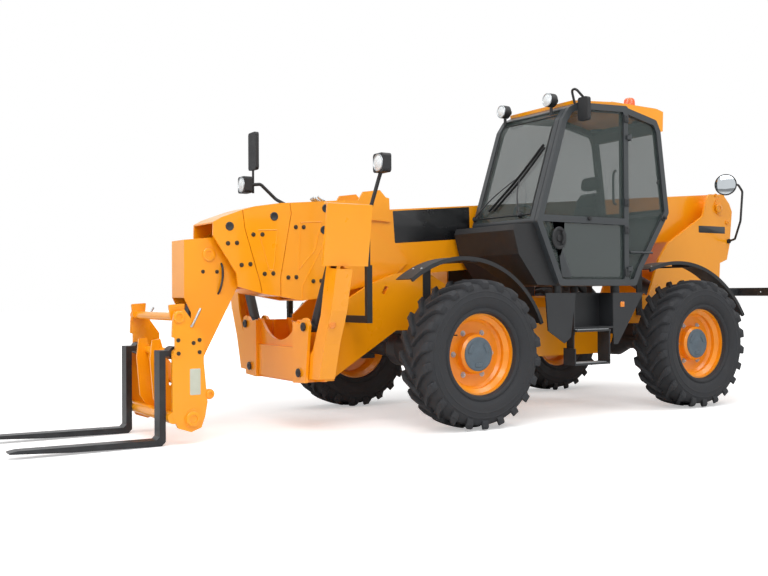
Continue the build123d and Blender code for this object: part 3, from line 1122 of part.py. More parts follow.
def nodes():
    """Every node by name, at its station."""
    strut_barrel, strut_rod = strut_pair()
    lift_barrel, lift_rod = lift_pair()
    tilt_barrel, tilt_rod = tilt_pair()
    left_leg, left_pad, left_fork = leg(), leg_pad(), fork()
    wheel_tyre, wheel_rim, wheel_knuckle, beam = tyre(), rim(), knuckle(), axle()
    found = {
        "chassis_frame": chassis_frame(), "front_cradle": front_cradle(), "tow_hitch": tow_hitch(),
        "rear_bar": rear_bar(), "engine_block": engine_block(), "engine_pod": engine_pod(),
        "engine_hood": engine_hood(), "fenders": fenders(), "side_steps": side_steps(),
        "front_axle": Pos(WHEELBASE, 0, TYRE_RADIUS) * beam, "rear_axle": Pos(0, 0, TYRE_RADIUS) * beam,
        "cab_frame": cab_frame(), "cab_roof": cab_roof(), "cab_glass": cab_glass(), "cab_nose": cab_nose(),
        "cab_console": cab_console(), "seat": seat(), "steering_wheel": steering_wheel(),
        "door": door(), "door_glass": door_glass(), "beacon": beacon(), "lamps": lamps(),
             "mirrors": mirrors(),
        "door_mirror": door_mirror(),
        "boom_outer": boom_outer(), "boom_second": boom_second(), "boom_third": boom_third(),
        "boom_inner": boom_inner(), "lift_barrel": lift_barrel, "lift_rod": lift_rod,
        "tilt_barrel": tilt_barrel, "tilt_rod": tilt_rod, "carriage": carriage(),
    }
    wheel_pieces = (("tyre", Pos(0, WHEEL_Y, 0) * wheel_tyre), ("rim", Pos(0, WHEEL_Y, 0) * wheel_rim),
                    ("knuckle", wheel_knuckle))
    for front, end in ((True, "front"), (False, "rear")):
        for left, side in ((True, "left"), (False, "right")):
            for piece, shape in wheel_pieces:
                found[f"{piece}_{end}_{side}"] = at_wheel(shape, front, left)
    for left, side in ((True, "left"), (False, "right")):
        for piece, shape in (("fork", left_fork), ("leg", left_leg), ("pad", left_pad),
                             ("strut_barrel", strut_barrel), ("strut_rod", strut_rod)):
            found[f"{piece}_{side}"] = shape if left else mirrored(shape)
    return found


def main():
    """Write one STEP file for each node, moved so the origin lies mid-length on the ground."""
    os.makedirs("parts", exist_ok=True)
    for name, shape in nodes().items():
        pieces = shape if isinstance(shape, (list, tuple)) else [shape]
        solids = [solid for piece in pieces for solid in piece.solids()]
        moved = [Pos(-ORIGIN_X, 0, 0) * solid for solid in solids]
        export_step(moved[0] if len(moved) == 1 else Compound(children=moved), f"parts/{name}.step")


if __name__ == "__main__":
    main()
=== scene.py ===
import json
import logging
import math
from collections.abc import Callable, Sequence
from dataclasses import dataclass
from enum import Enum

import bmesh
import bpy
import numpy as np
from mathutils import Matrix, Vector
from mathutils.bvhtree import BVHTree


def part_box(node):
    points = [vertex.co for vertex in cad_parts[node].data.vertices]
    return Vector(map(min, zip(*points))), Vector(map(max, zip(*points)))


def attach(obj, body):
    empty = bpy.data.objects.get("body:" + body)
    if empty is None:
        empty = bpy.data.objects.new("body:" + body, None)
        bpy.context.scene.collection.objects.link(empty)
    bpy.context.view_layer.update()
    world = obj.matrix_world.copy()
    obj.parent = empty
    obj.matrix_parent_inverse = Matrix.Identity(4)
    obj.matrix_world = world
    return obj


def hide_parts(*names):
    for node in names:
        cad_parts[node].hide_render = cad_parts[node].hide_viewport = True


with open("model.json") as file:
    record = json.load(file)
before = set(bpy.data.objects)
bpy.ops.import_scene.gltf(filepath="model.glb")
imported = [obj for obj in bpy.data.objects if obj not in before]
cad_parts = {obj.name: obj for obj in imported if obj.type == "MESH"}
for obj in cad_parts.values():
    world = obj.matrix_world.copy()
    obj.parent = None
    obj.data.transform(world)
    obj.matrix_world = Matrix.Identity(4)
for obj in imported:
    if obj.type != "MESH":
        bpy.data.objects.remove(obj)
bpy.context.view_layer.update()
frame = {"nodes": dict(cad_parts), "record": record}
LOG = logging.getLogger("telehandler")

# A place or a direction: x, y and z.
Triple = tuple[float, float, float] | np.ndarray
# Several rows of numbers of the same length.
Rows = Sequence[Sequence[float]] | np.ndarray
# One number, or an array of them.
Field = float | np.ndarray

# Forwards, to the machine's left, and up.
AHEAD, LEFT, UP = np.eye(3)
# The machine's sides, each with its sign of y.
SIDES: tuple[tuple[str, float], ...] = (("left", 1.0), ("right", -1.0))
# A line that looks for a side face starts this far from the middle plane, in metres.
OUTSIDE = 1.2
# The body that everything fixed rides on.
MACHINE = "machine"


# ---------------------------------------------------------------- colour and node helpers
def linear(code: str, alpha: float = 1.0) -> tuple[float, float, float, float]:
    """Turn an sRGB hex code into a linear colour: a straight foot, then a power of 2.4.

    Args:
        code: the colour as #RRGGBB.
        alpha: the fourth value of the result.

    Returns:
        Red, green, blue and alpha, linear.
    """
    values = [int(code[i:i + 2], 16) / 255.0 for i in (1, 3, 5)]
    r, g, b = (v / 12.92 if v <= 0.04045 else ((v + 0.055) / 1.055) ** 2.4 for v in values)
    return r, g, b, alpha


def add(tree: bpy.types.NodeTree, kind: str, values: dict | None = None, links: dict | None = None,
        **settings: object) -> bpy.types.Node:
    """Add one node with its settings, socket values and incoming links.

    Args:
        tree: the node tree it goes into.
        kind: the node's type name without the ShaderNode prefix.
        values: socket name or index to its value.
        links: socket name or index to the output socket that feeds it.
        settings: attributes of the node itself.

    Returns:
        The new node.
    """
    node = tree.nodes.new("ShaderNode" + kind)
    for key, value in settings.items():
        setattr(node, key, value)
    for key, value in (values or {}).items():
        node.inputs[key].default_value = value
    for key, output in (links or {}).items():
        tree.links.new(output, node.inputs[key])
    return node


class Grain(Enum):
    """Which pattern of tone and relief a finish carries."""

    ORANGE_PEEL = "sprayed paint: a faint long wave in the gloss"
    CAST = "rough cast skin"
    MOULDED = "fine moulded plastic grain"
    BRUSHED = "straight fine lines"
    DUSTY = "rubber with a dry bloom between darker patches"
    PLAIN = "smooth"


@dataclass(frozen=True)
class Finish:
    """One surface finish: what it is made of and how it was made, with sizes in millimetres.

    Its slot is not used.
    """

    name: str
    colour: str
    roughness: float
    grain: Grain = Grain.PLAIN
    metallic: float = 0.0
    coat: float = 0.0
    ior: float = 1.5
    tone: str = ""
    tone_share: float = 0.35
    tone_mm: float = 240.0
    grain_mm: float = 3.0
    relief_mm: float = 0.0
    alpha: float = 1.0
    glow: float = 0.0
    slot: str = ""
    coat_roughness: float = 0.08
    bump: float = 0.35

    def build(self) -> bpy.types.Material:
        """Make the material from its shader's sockets and patterns.

        Returns:
            The new material, or the one that was made before.
        """
        made = bpy.data.materials.get(self.name)
        if made:
            return made
        material = bpy.data.materials.new(self.name)
        material.use_nodes = True
        tree = material.node_tree
        shader = tree.nodes["Principled BSDF"]
        sockets = {"Base Color": linear(self.colour), "Roughness": self.roughness, "Metallic": self.metallic,
                   "Coat Weight": self.coat, "Coat Roughness": self.coat_roughness, "Alpha": self.alpha}
        if not self.metallic:
            sockets["IOR"] = self.ior
        # a glow is painted light: emission in the finish's own colour, which only the beacon uses
        if self.glow:
            sockets.update({"Emission Color": linear(self.colour), "Emission Strength": self.glow})
        for socket, value in sockets.items():
            shader.inputs[socket].default_value = value
        self.dress(tree, shader)
        return material

    def dress(self, tree: bpy.types.NodeTree, shader: bpy.types.Node) -> None:
        """Add the tone, roughness and relief patterns on object coordinates.

        Args:
            tree: the material's node tree.
            shader: its Principled node.
        """
        where = add(tree, "TexCoord").outputs["Object"]
        if self.tone:
            # Clouds of tone, and a gloss that rises and falls with them.
            cloud = add(tree, "TexNoise", {"Scale": 1000.0 / self.tone_mm, "Detail": 5.0, "Roughness": 0.6},
                        {"Vector": where}).outputs["Fac"]
            share = add(tree, "MapRange", {"From Min": 0.42, "From Max": 0.68, "To Min": 0.0,
                                           "To Max": self.tone_share}, {"Value": cloud})
            mix = add(tree, "Mix", {6: linear(self.colour), 7: linear(self.tone)},
                      {0: share.outputs["Result"]}, data_type="RGBA")
            tree.links.new(mix.outputs[2], shader.inputs["Base Color"])
            rough = add(tree, "MapRange", {"From Min": 0.3, "From Max": 0.7, "To Min": self.roughness * 0.85,
                                           "To Max": min(1.0, self.roughness * 1.2)}, {"Value": cloud})
            tree.links.new(rough.outputs["Result"], shader.inputs["Roughness"])
        if self.relief_mm:
            stretch = (0.06, 1.0, 1.0) if self.grain is Grain.BRUSHED else (1.0, 1.0, 1.0)
            place = add(tree, "Mapping", {"Scale": stretch}, {"Vector": where})
            fine = add(tree, "TexNoise", {"Scale": 1000.0 / self.grain_mm, "Detail": 3.0},
                       {"Vector": place.outputs[0]})
            bump = add(tree, "Bump", {"Strength": self.bump, "Distance": self.relief_mm / 1000.0},
                       {"Height": fine.outputs["Fac"]})
            tree.links.new(bump.outputs["Normal"], shader.inputs["Normal"])


# Sprayed two-pack enamel on welded plate: deep orange-yellow, glossy, with a faint long wave.
BODY_PAINT = Finish("enamel_orange_yellow", "#FCA208", 0.3, Grain.ORANGE_PEEL, coat=0.3, tone="#F59A05",
                    tone_share=0.5, tone_mm=700.0, grain_mm=26.0, relief_mm=0.35, slot="body_paint")
# The same enamel on pressed wheel discs, a little deeper where dust and shade lie in the dish.
RIM_PAINT = Finish("enamel_wheel_orange", "#F79A10", 0.34, Grain.ORANGE_PEEL, coat=0.3, tone="#E2860B",
                   tone_share=0.5, tone_mm=160.0, grain_mm=20.0, relief_mm=0.3)
# Powder coat on the cab's tubes and door skin: charcoal, satin.
CAB_PAINT = Finish("powder_coat_charcoal", "#35393C", 0.42, Grain.ORANGE_PEEL, coat=0.15, tone="#2C3033",
                   tone_mm=300.0, grain_mm=2.4, relief_mm=0.12, slot="cab_paint")
# Powder coat on frame steel and attachments: near black, satin.
BLACK_STEEL = Finish("powder_coat_black", "#222427", 0.46, Grain.ORANGE_PEEL, tone="#2D2F31",
                     tone_mm=180.0, grain_mm=2.5, relief_mm=0.15, slot="black_steel")
# Forged fork arms, painted black and rubbed by loads.
FORK_STEEL = Finish("painted_forging_black", "#1B1C1F", 0.4, Grain.CAST, tone="#303236", tone_share=0.6,
                    tone_mm=90.0, grain_mm=7.0, relief_mm=0.4)
# Moulded polypropylene mudguards and housings: black, matt, with a fine grain.
BLACK_PLASTIC = Finish("moulded_polypropylene_black", "#1C1D1F", 0.58, Grain.MOULDED, tone="#262729",
                       tone_mm=220.0, grain_mm=3.0, relief_mm=0.25, slot="black_plastic")
# Moulded console plastic inside the cab: dark grey.
GREY_PLASTIC = Finish("moulded_abs_dark_grey", "#34373A", 0.55, Grain.MOULDED, tone="#2D3033",
                      tone_mm=200.0, grain_mm=3.0, relief_mm=0.25, slot="black_plastic")
# Tyre rubber with a dry bloom on the shoulders.
RUBBER = Finish("vulcanised_tyre_rubber", "#26272A", 0.78, Grain.DUSTY, tone="#34363A", tone_share=0.7,
                tone_mm=110.0, grain_mm=9.0, relief_mm=0.8, slot="tyre_rubber")
# Hard-chromed cylinder rods.
CHROME = Finish("hard_chrome_rod", "#D5D8DB", 0.12, Grain.BRUSHED, metallic=1.0, tone="#C4C8CC",
                tone_mm=60.0, grain_mm=1.5, relief_mm=0.02, slot="chrome_rod")
# Grey cast iron of the engine block.
IRON = Finish("cast_iron_grey", "#5F6365", 0.6, Grain.CAST, metallic=0.7, tone="#4A4D4F", tone_mm=80.0,
              grain_mm=5.0, relief_mm=0.5)
# Woven polyester seat cloth, dark.
SEAT_CLOTH = Finish("woven_polyester_charcoal", "#2B2D31", 0.9, Grain.MOULDED, tone="#383B40",
                    tone_mm=12.0, grain_mm=3.0, relief_mm=0.6, slot="seat_fabric")
# Tinted toughened glass: grey-green, mostly clear, with a plain reflection.
CAB_GLASS = Finish("toughened_glass_tinted", "#46524F", 0.02, alpha=0.38, ior=1.52, tone="#3F4B4A",
                   tone_mm=600.0)
# Polycarbonate beacon dome: orange and glossy, with a faint painted glow for the sky light inside it.
BEACON = Finish("polycarbonate_beacon_orange", "#EE5A12", 0.16, ior=1.58, coat=0.6, tone="#F98A3A",
                tone_share=0.4, tone_mm=40.0, glow=0.15, slot="beacon_lens")
# Zinc-plated fasteners and fittings.
ZINC = Finish("zinc_plated_fastener", "#B9BDC0", 0.32, Grain.BRUSHED, metallic=1.0, tone="#96999C",
              tone_mm=14.0, grain_mm=1.5, relief_mm=0.03, slot="chrome_rod")
# Fasteners under a thin coat of paint: dark and satin.
ZINC_DARK = Finish("phosphated_fastener", "#4A4236", 0.42, Grain.CAST, metallic=0.6, tone="#2E2B27",
                   tone_mm=14.0, grain_mm=1.5, relief_mm=0.05, slot="black_steel")
# Cast hub covers with a blue-grey primer.
HUB_GREY = Finish("hub_primer_blue_grey", "#56646E", 0.45, Grain.CAST, tone="#4A565F", tone_mm=30.0,
                  grain_mm=2.5, relief_mm=0.2, slot="engine_iron")
# Black rubber of seals, gaiters and hoses.
SEAL_RUBBER = Finish("extruded_rubber_black", "#1A1B1D", 0.6, Grain.MOULDED, tone="#242527", tone_mm=60.0,
                     grain_mm=1.6, relief_mm=0.08, slot="tyre_rubber")
# Plain vinyl panels: glossy black.
PANEL_BLACK = Finish("vinyl_panel_black", "#17181A", 0.3, Grain.ORANGE_PEEL, coat=0.3, tone="#202123",
                     tone_mm=200.0, grain_mm=8.0, relief_mm=0.05, slot="black_plastic")
# Moulded polycarbonate lamp lenses.
LENS = Finish("polycarbonate_lens_clear", "#E9EEF0", 0.08, ior=1.58, coat=0.6, tone="#C9D0D4",
              tone_share=0.5, tone_mm=9.0, slot="window_glass")
LENS_RED = Finish("polycarbonate_lens_red", "#B3160F", 0.12, ior=1.58, coat=0.5, tone="#8E100B",
                  tone_mm=12.0, slot="beacon_lens")
LENS_AMBER = Finish("polycarbonate_lens_amber", "#F08A10", 0.12, ior=1.58, coat=0.5, tone="#DB7608",
                    tone_mm=12.0, slot="beacon_lens")
# Nearly opaque smoke-grey sheet on the door's lower pane: painted shade for the dark cab seen through the glass.
PAINTED_SHADE_PANE = Finish("painted_shade_pane_smoke", "#3A4342", 0.08, ior=1.52, coat=0.5, alpha=0.88, tone="#343C3B",
                   tone_mm=300.0, slot="window_glass")
# Silvered mirror glass.
MIRROR_GLASS = Finish("silvered_glass", "#C8CED2", 0.03, metallic=1.0, tone="#B9C0C5", tone_mm=80.0,
                      slot="chrome_rod")
# Punched step treads: galvanised steel.
TREAD_STEEL = Finish("galvanised_tread", "#A9ADAF", 0.42, Grain.BRUSHED, metallic=0.9, tone="#85898B",
                     tone_mm=25.0, grain_mm=2.0, relief_mm=0.1, slot="chrome_rod")
# Blank rating plates: pale anodised aluminium.
BLANK_PLATE = Finish("anodised_blank_plate", "#C9CDBE", 0.4, Grain.BRUSHED, metallic=0.3, tone="#BCC2AE",
                     tone_mm=60.0, grain_mm=1.5, relief_mm=0.03, slot="chrome_rod")


# ---------------------------------------------------------------- surfaces
@dataclass
class Patch:
    """One surface: its points and its faces as tuples of indices."""

    points: np.ndarray
    faces: list[tuple[int, ...]]

    def through(self, matrices: np.ndarray) -> "Patch":
        """Repeat the patch through each 4 by 4 matrix.

        Args:
            matrices: one matrix for each copy.

        Returns:
            One patch that holds all the copies.
        """
        full = np.concatenate([self.points, np.ones((len(self.points), 1))], axis=1)
        points = np.einsum("kij,nj->kni", matrices, full)[:, :, :3].reshape(-1, 3)
        count = len(self.points)
        faces = [tuple(i + copy * count for i in face) for copy in range(len(matrices)) for face in self.faces]
        return Patch(points, faces)


def grid(points: np.ndarray, loop: bool = False) -> Patch:
    """Faces over a grid of points whose every row is a closed ring.

    Args:
        points: rows by columns by 3.
        loop: whether the last row joins the first; if not, a face closes each end.

    Returns:
        The closed patch.
    """
    rows, columns = points.shape[:2]
    index = np.arange(rows * columns).reshape(rows, columns)
    above, below = (index, np.roll(index, -1, axis=0)) if loop else (index[:-1], index[1:])
    quads = np.stack((above, np.roll(above, -1, axis=1), np.roll(below, -1, axis=1), below), axis=-1)
    faces = [tuple(quad) for quad in quads.reshape(-1, 4).tolist()]
    if not loop:
        faces += [tuple(index[0, ::-1].tolist()), tuple(index[-1].tolist())]
    return Patch(points.reshape(-1, 3), faces)


def unit(vector: Triple) -> np.ndarray:
    """A direction of length one."""
    vector = np.asarray(vector, float)
    return vector / np.linalg.norm(vector)


def around(count: int) -> np.ndarray:
    """Equal angles round a full turn."""
    return np.linspace(0.0, 2.0 * math.pi, count, endpoint=False)


def spokes(axis: np.ndarray, count: int) -> np.ndarray:
    """Directions square to an axis and evenly spaced: cosine of one square direction plus sine of the other.

    Args:
        axis: the axis, of length one.
        count: how many directions.

    Returns:
        One row for each direction.
    """
    first = unit(np.cross(np.eye(3)[np.argmin(np.abs(axis))], axis))
    angle = around(count)[:, None]
    return np.cos(angle) * first + np.sin(angle) * np.cross(axis, first)


def lathe(profile: Rows, place: Triple, axis: Triple, sides: int = 32) -> Patch:
    """Turn a profile of (radius, height) about an axis: point = place + height * axis + radius * spoke.

    Args:
        profile: rows of radius and height along the axis.
        place: the axis's foot.
        axis: its direction.
        sides: how many columns.

    Returns:
        A closed patch; a profile that starts or ends off the axis is capped.
    """
    profile, axis = np.asarray(profile, float), unit(axis)
    points = (np.asarray(place, float) + profile[:, 1, None, None] * axis
              + profile[:, 0, None, None] * spokes(axis, sides)[None])
    return grid(points)


def ring(radius: float, thick: float, place: Triple, axis: Triple, sides: int = 48, wall: int = 10) -> Patch:
    """Torus: a small circle carried round a large one.

    Args:
        radius: the large circle's radius.
        thick: the small circle's radius.
        place: its centre.
        axis: its direction.
        sides: columns round the large circle.
        wall: columns round the small circle.

    Returns:
        A closed patch.
    """
    axis, turn = unit(axis), around(wall)
    reach = radius + thick * np.cos(turn)
    points = (np.asarray(place, float) + reach[None, :, None] * spokes(axis, sides)[:, None, :]
              + (thick * np.sin(turn))[None, :, None] * axis)
    return grid(points, loop=True)


def bend(points: Rows, steps: int = 6) -> np.ndarray:
    """Smooth line through points: a Catmull-Rom cubic on each run.

    Args:
        points: rows of x, y, z.
        steps: points on each run.

    Returns:
        The line's points, from the first given point to the last.
    """
    points = np.asarray(points, float)
    full = np.vstack((2 * points[0] - points[1], points, 2 * points[-1] - points[-2]))
    t = np.linspace(0.0, 1.0, steps, endpoint=False)[None, :, None]
    a, b, c, d = (full[i:len(full) - 3 + i, None, :] for i in range(4))
    runs = 0.5 * (2 * b + (c - a) * t + (2 * a - 5 * b + 4 * c - d) * t ** 2 + (3 * b - a - 3 * c + d) * t ** 3)
    return np.vstack((runs.reshape(-1, 3), points[-1:]))


def tube(path: np.ndarray, radius: Field, sides: int = 10, flat: Triple | None = None,
         squash: float = 1.0) -> Patch:
    """Carry a circle along a path: point = path + radius * (cosine * side + squash * sine * lift).

    Args:
        path: rows of x, y, z.
        radius: one radius, or one for each point.
        sides: columns round the tube.
        flat: a direction that the section is measured from, or none.
        squash: the section's height against its width.

    Returns:
        A closed patch.
    """
    path = np.asarray(path, float)
    ahead = np.gradient(path, axis=0)
    ahead /= np.linalg.norm(ahead, axis=1)[:, None]
    helper = np.asarray(flat, float) if flat is not None else np.eye(3)[np.argmin(np.abs(ahead).max(axis=0))]
    side = np.cross(ahead, helper)
    side /= np.linalg.norm(side, axis=1)[:, None]
    lift = np.cross(side, ahead)
    angle = around(sides)[None, :, None]
    size = np.broadcast_to(np.asarray(radius, float), (len(path),))[:, None, None]
    section = np.cos(angle) * side[:, None, :] + squash * np.sin(angle) * lift[:, None, :]
    return grid(path[:, None, :] + size * section)


def area(outline: np.ndarray) -> float:
    """Signed area of an outline: half the sum of its corners' cross products, above zero anticlockwise."""
    after = np.roll(outline, -1, axis=0)
    return float(np.sum(outline[:, 0] * after[:, 1] - after[:, 0] * outline[:, 1])) / 2.0


def anticlockwise(outline: np.ndarray) -> np.ndarray:
    """The outline, turned round where it runs clockwise."""
    return outline if area(outline) > 0.0 else outline[::-1]


def offset(outline: np.ndarray, distance: float) -> np.ndarray:
    """Move a closed outline inwards: each corner goes along the mean of its two edges' normals.

    Args:
        outline: corners as x, y.
        distance: how far inwards.

    Returns:
        The new corners.
    """
    after, before = np.roll(outline, -1, axis=0) - outline, outline - np.roll(outline, 1, axis=0)
    turn = math.copysign(1.0, area(outline))
    mean = sum(np.stack((-edge[:, 1], edge[:, 0]), axis=1) / np.linalg.norm(edge, axis=1)[:, None] * turn
               for edge in (after, before))
    scale = 2.0 * distance / np.maximum(np.sum(mean * mean, axis=1), 0.5)
    return outline + mean * scale[:, None]


def soft_outline(corners: Rows, radius: float, steps: int = 4) -> np.ndarray:
    """Round a polygon's corners: each becomes a quadratic curve that starts and ends a radius away.

    Args:
        corners: the polygon's corners as x, y.
        radius: how far from a corner its curve starts, at most 0.45 of the edge.
        steps: runs on each curve.

    Returns:
        The rounded outline.
    """
    corners = np.asarray(corners, float)
    ends = []
    for shift in (1, -1):
        edge = np.roll(corners, shift, axis=0) - corners
        length = np.linalg.norm(edge, axis=1)[:, None]
        ends.append((corners + edge / length * np.minimum(radius, 0.45 * length))[:, None])
    start, stop = ends
    t = np.linspace(0.0, 1.0, steps + 1)[None, :, None]
    return ((1 - t) ** 2 * start + 2 * t * (1 - t) * corners[:, None] + t ** 2 * stop).reshape(-1, 2)


def rectangle(width: float, height: float) -> np.ndarray:
    """Corners of a rectangle about the origin."""
    return np.array(((-width, -height), (width, -height), (width, height), (-width, height))) / 2.0


def plate(outline: np.ndarray, thick: float, place: Triple, across: Triple, up: Triple,
          edge: float = 0.0) -> Patch:
    """Raise a flat outline into a plate with a rounded front edge.

    The rows are the outline at the back, at the start of the edge, and a quarter circle of rows inwards:
    point = place + x * across + y * up + height * (across x up).

    Args:
        outline: corners as x, y.
        thick: the plate's thickness.
        place: where the outline's origin lies, at the plate's back.
        across: direction of x.
        up: direction of y.
        edge: radius of the front edge.

    Returns:
        A closed patch.
    """
    across, up = unit(across), unit(up)
    out = unit(np.cross(across, up))
    edge = min(edge, thick * 0.98)
    rows = [(0.0, 0.0), (0.0, thick - edge)]
    if edge:
        rows += [(edge * (1 - math.cos(a)), thick - edge + edge * math.sin(a)) for a in (0.52, 1.05, math.pi / 2)]
    levels = [(offset(outline, inwards), height) for inwards, height in rows]
    return grid(np.stack([np.asarray(place, float) + flat[:, :1] * across + flat[:, 1:] * up + height * out
                          for flat, height in levels]))


def tablet(size: tuple[float, float, float], corner: float, place: Triple, across: Triple, up: Triple = UP,
           edge: float = 0.0) -> Patch:
    """Plate with the outline of a rectangle whose corners are rounded.

    Args:
        size: width, height and thickness.
        corner: how far from a corner its rounding starts.
        place: the middle of its back.
        across: direction of the width.
        up: direction of the height.
        edge: radius of the front edge.

    Returns:
        A closed patch.
    """
    return plate(soft_outline(rectangle(*size[:2]), corner), size[2], place, across, up, edge)


def pillow(size: Triple, place: Triple, axes: Sequence[Triple], power: float = 4.0, rows: int = 18,
           columns: int = 32) -> Patch:
    """Rounded block: each point of a sphere, with its sines and cosines raised to the power 2 / power.

    Args:
        size: full width, depth and height.
        place: its centre.
        axes: its three directions.
        power: 2 for an ellipsoid, higher for a squarer block.
        rows: rows from pole to pole.
        columns: columns round it.

    Returns:
        A closed patch.
    """
    lat = np.linspace(-math.pi / 2, math.pi / 2, rows)[1:-1]
    lon = around(columns)

    def shaped(values: np.ndarray) -> np.ndarray:
        """Raise to the power, keeping the sign."""
        return np.sign(values) * np.abs(values) ** (2.0 / power)

    x = shaped(np.cos(lat))[:, None] * shaped(np.cos(lon))[None]
    y = shaped(np.cos(lat))[:, None] * shaped(np.sin(lon))[None]
    z = np.broadcast_to(shaped(np.sin(lat))[:, None], x.shape)
    half = np.asarray(size, float) / 2.0
    axes = np.array([unit(a) for a in axes])
    local = np.stack((x * half[0], y * half[1], z * half[2]), axis=-1)
    return grid(np.asarray(place, float) + local @ axes)


def turns(count: int, place: Triple, axis: Triple) -> np.ndarray:
    """Matrices that turn a patch into equal places round an axis through a place."""
    there, back = Matrix.Translation(Vector(place)), Matrix.Translation(-Vector(place))
    return np.array([np.array(there @ Matrix.Rotation(a, 4, Vector(axis)) @ back) for a in around(count)])


def hex_bolt(place: Triple, axis: Triple, size: float) -> list[Patch]:
    """Washer and chamfered hexagon head of a bolt, both turned about its axis.

    Args:
        place: where it meets the surface.
        axis: its direction outwards.
        size: the head's half width.

    Returns:
        The washer and the head.
    """
    washer = size * np.array(((0.0, 0.0), (1.45, 0.0), (1.45, 0.22), (0.0, 0.22)))
    head = size * np.array(((0.0, 0.0), (1.12, 0.0), (1.12, 0.75), (0.9, 0.95), (0.0, 0.95)))
    return [lathe(washer, place, axis, 14), lathe(head, place, axis, 6)]


def dome_bolt(place: Triple, axis: Triple, size: float) -> list[Patch]:
    """Round-headed bolt: a low dome on a flange; size is the flange's radius."""
    rows = np.array(((0.0, 0.0), (1.0, 0.0), (1.0, 0.18), (0.82, 0.24), (0.74, 0.48), (0.42, 0.66), (0.0, 0.7)))
    return [lathe(size * rows, place, axis, 14)]


def add_piece(name: str, patches: list[Patch], finish: Finish, body: str = MACHINE,
              smooth: float = 38.0) -> bpy.types.Object:
    """Make one object of several closed patches, on a body and in its finish's material.

    Args:
        name: the piece's name.
        patches: its surfaces.
        finish: what it is made of.
        body: the body that it rides on.
        smooth: edges under this angle in degrees are shaded smooth.

    Returns:
        The new object.
    """
    starts = np.cumsum([0] + [len(patch.points) for patch in patches[:-1]])
    points = np.concatenate([patch.points for patch in patches])
    faces = [tuple(int(i + start) for i in face) for patch, start in zip(patches, starts) for face in patch.faces]
    mesh = bpy.data.meshes.new(name)
    mesh.from_pydata(points.tolist(), [], faces)
    work = bmesh.new()
    work.from_mesh(mesh)
    bmesh.ops.remove_doubles(work, verts=work.verts, dist=1e-6)
    bmesh.ops.recalc_face_normals(work, faces=work.faces)
    work.to_mesh(mesh)
    work.free()
    mesh.polygons.foreach_set("use_smooth", np.ones(len(mesh.polygons), bool))
    mesh.set_sharp_from_angle(angle=math.radians(smooth))
    mesh.materials.append(finish.build())
    made = bpy.data.objects.new(name, mesh)
    bpy.context.scene.collection.objects.link(made)
    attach(made, body)
    LOG.info("%s: %d faces, %s", name, len(mesh.polygons), finish.name)
    return made


JOINTS: dict[str, dict] = {joint["name"]: joint for joint in frame["record"]["behaviour"]["joints"]}


def pin(joint: str) -> np.ndarray:
    """Where a joint's axis passes, in metres."""
    return np.array(JOINTS[joint]["pos_m"], float)


def low_high(node: str) -> tuple[np.ndarray, np.ndarray]:
    """A node's lowest and highest corners at rest."""
    low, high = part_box(node)
    return np.array(low, float), np.array(high, float)


TREES: dict[str, BVHTree] = {}


def land(node: str, start: Triple, way: Triple) -> tuple[np.ndarray, np.ndarray]:
    """Where a straight line from start first meets a CAD node.

    Args:
        node: the node's name.
        start: where the line starts.
        way: its direction.

    Returns:
        The point on the surface, and the surface's direction there.
    """
    if node not in TREES:
        mesh = frame["nodes"][node].data
        corners = np.zeros(len(mesh.vertices) * 3)
        mesh.vertices.foreach_get("co", corners)
        faces = [tuple(face.vertices) for face in mesh.polygons]
        TREES[node] = BVHTree.FromPolygons(corners.reshape(-1, 3).tolist(), faces)
    place, normal, _, _ = TREES[node].ray_cast(Vector(start), Vector(way).normalized())
    if place is None:
        LOG.warning("no surface of %s at %s", node, np.round(start, 3))
        return np.asarray(start, float), -unit(way)
    return np.array(place), np.array(normal)


def beside(node: str, x: float, z: float, side: float) -> np.ndarray:
    """Point of a node's outer face at one side of the machine."""
    return land(node, (x, side * OUTSIDE, z), -side * LEFT)[0]


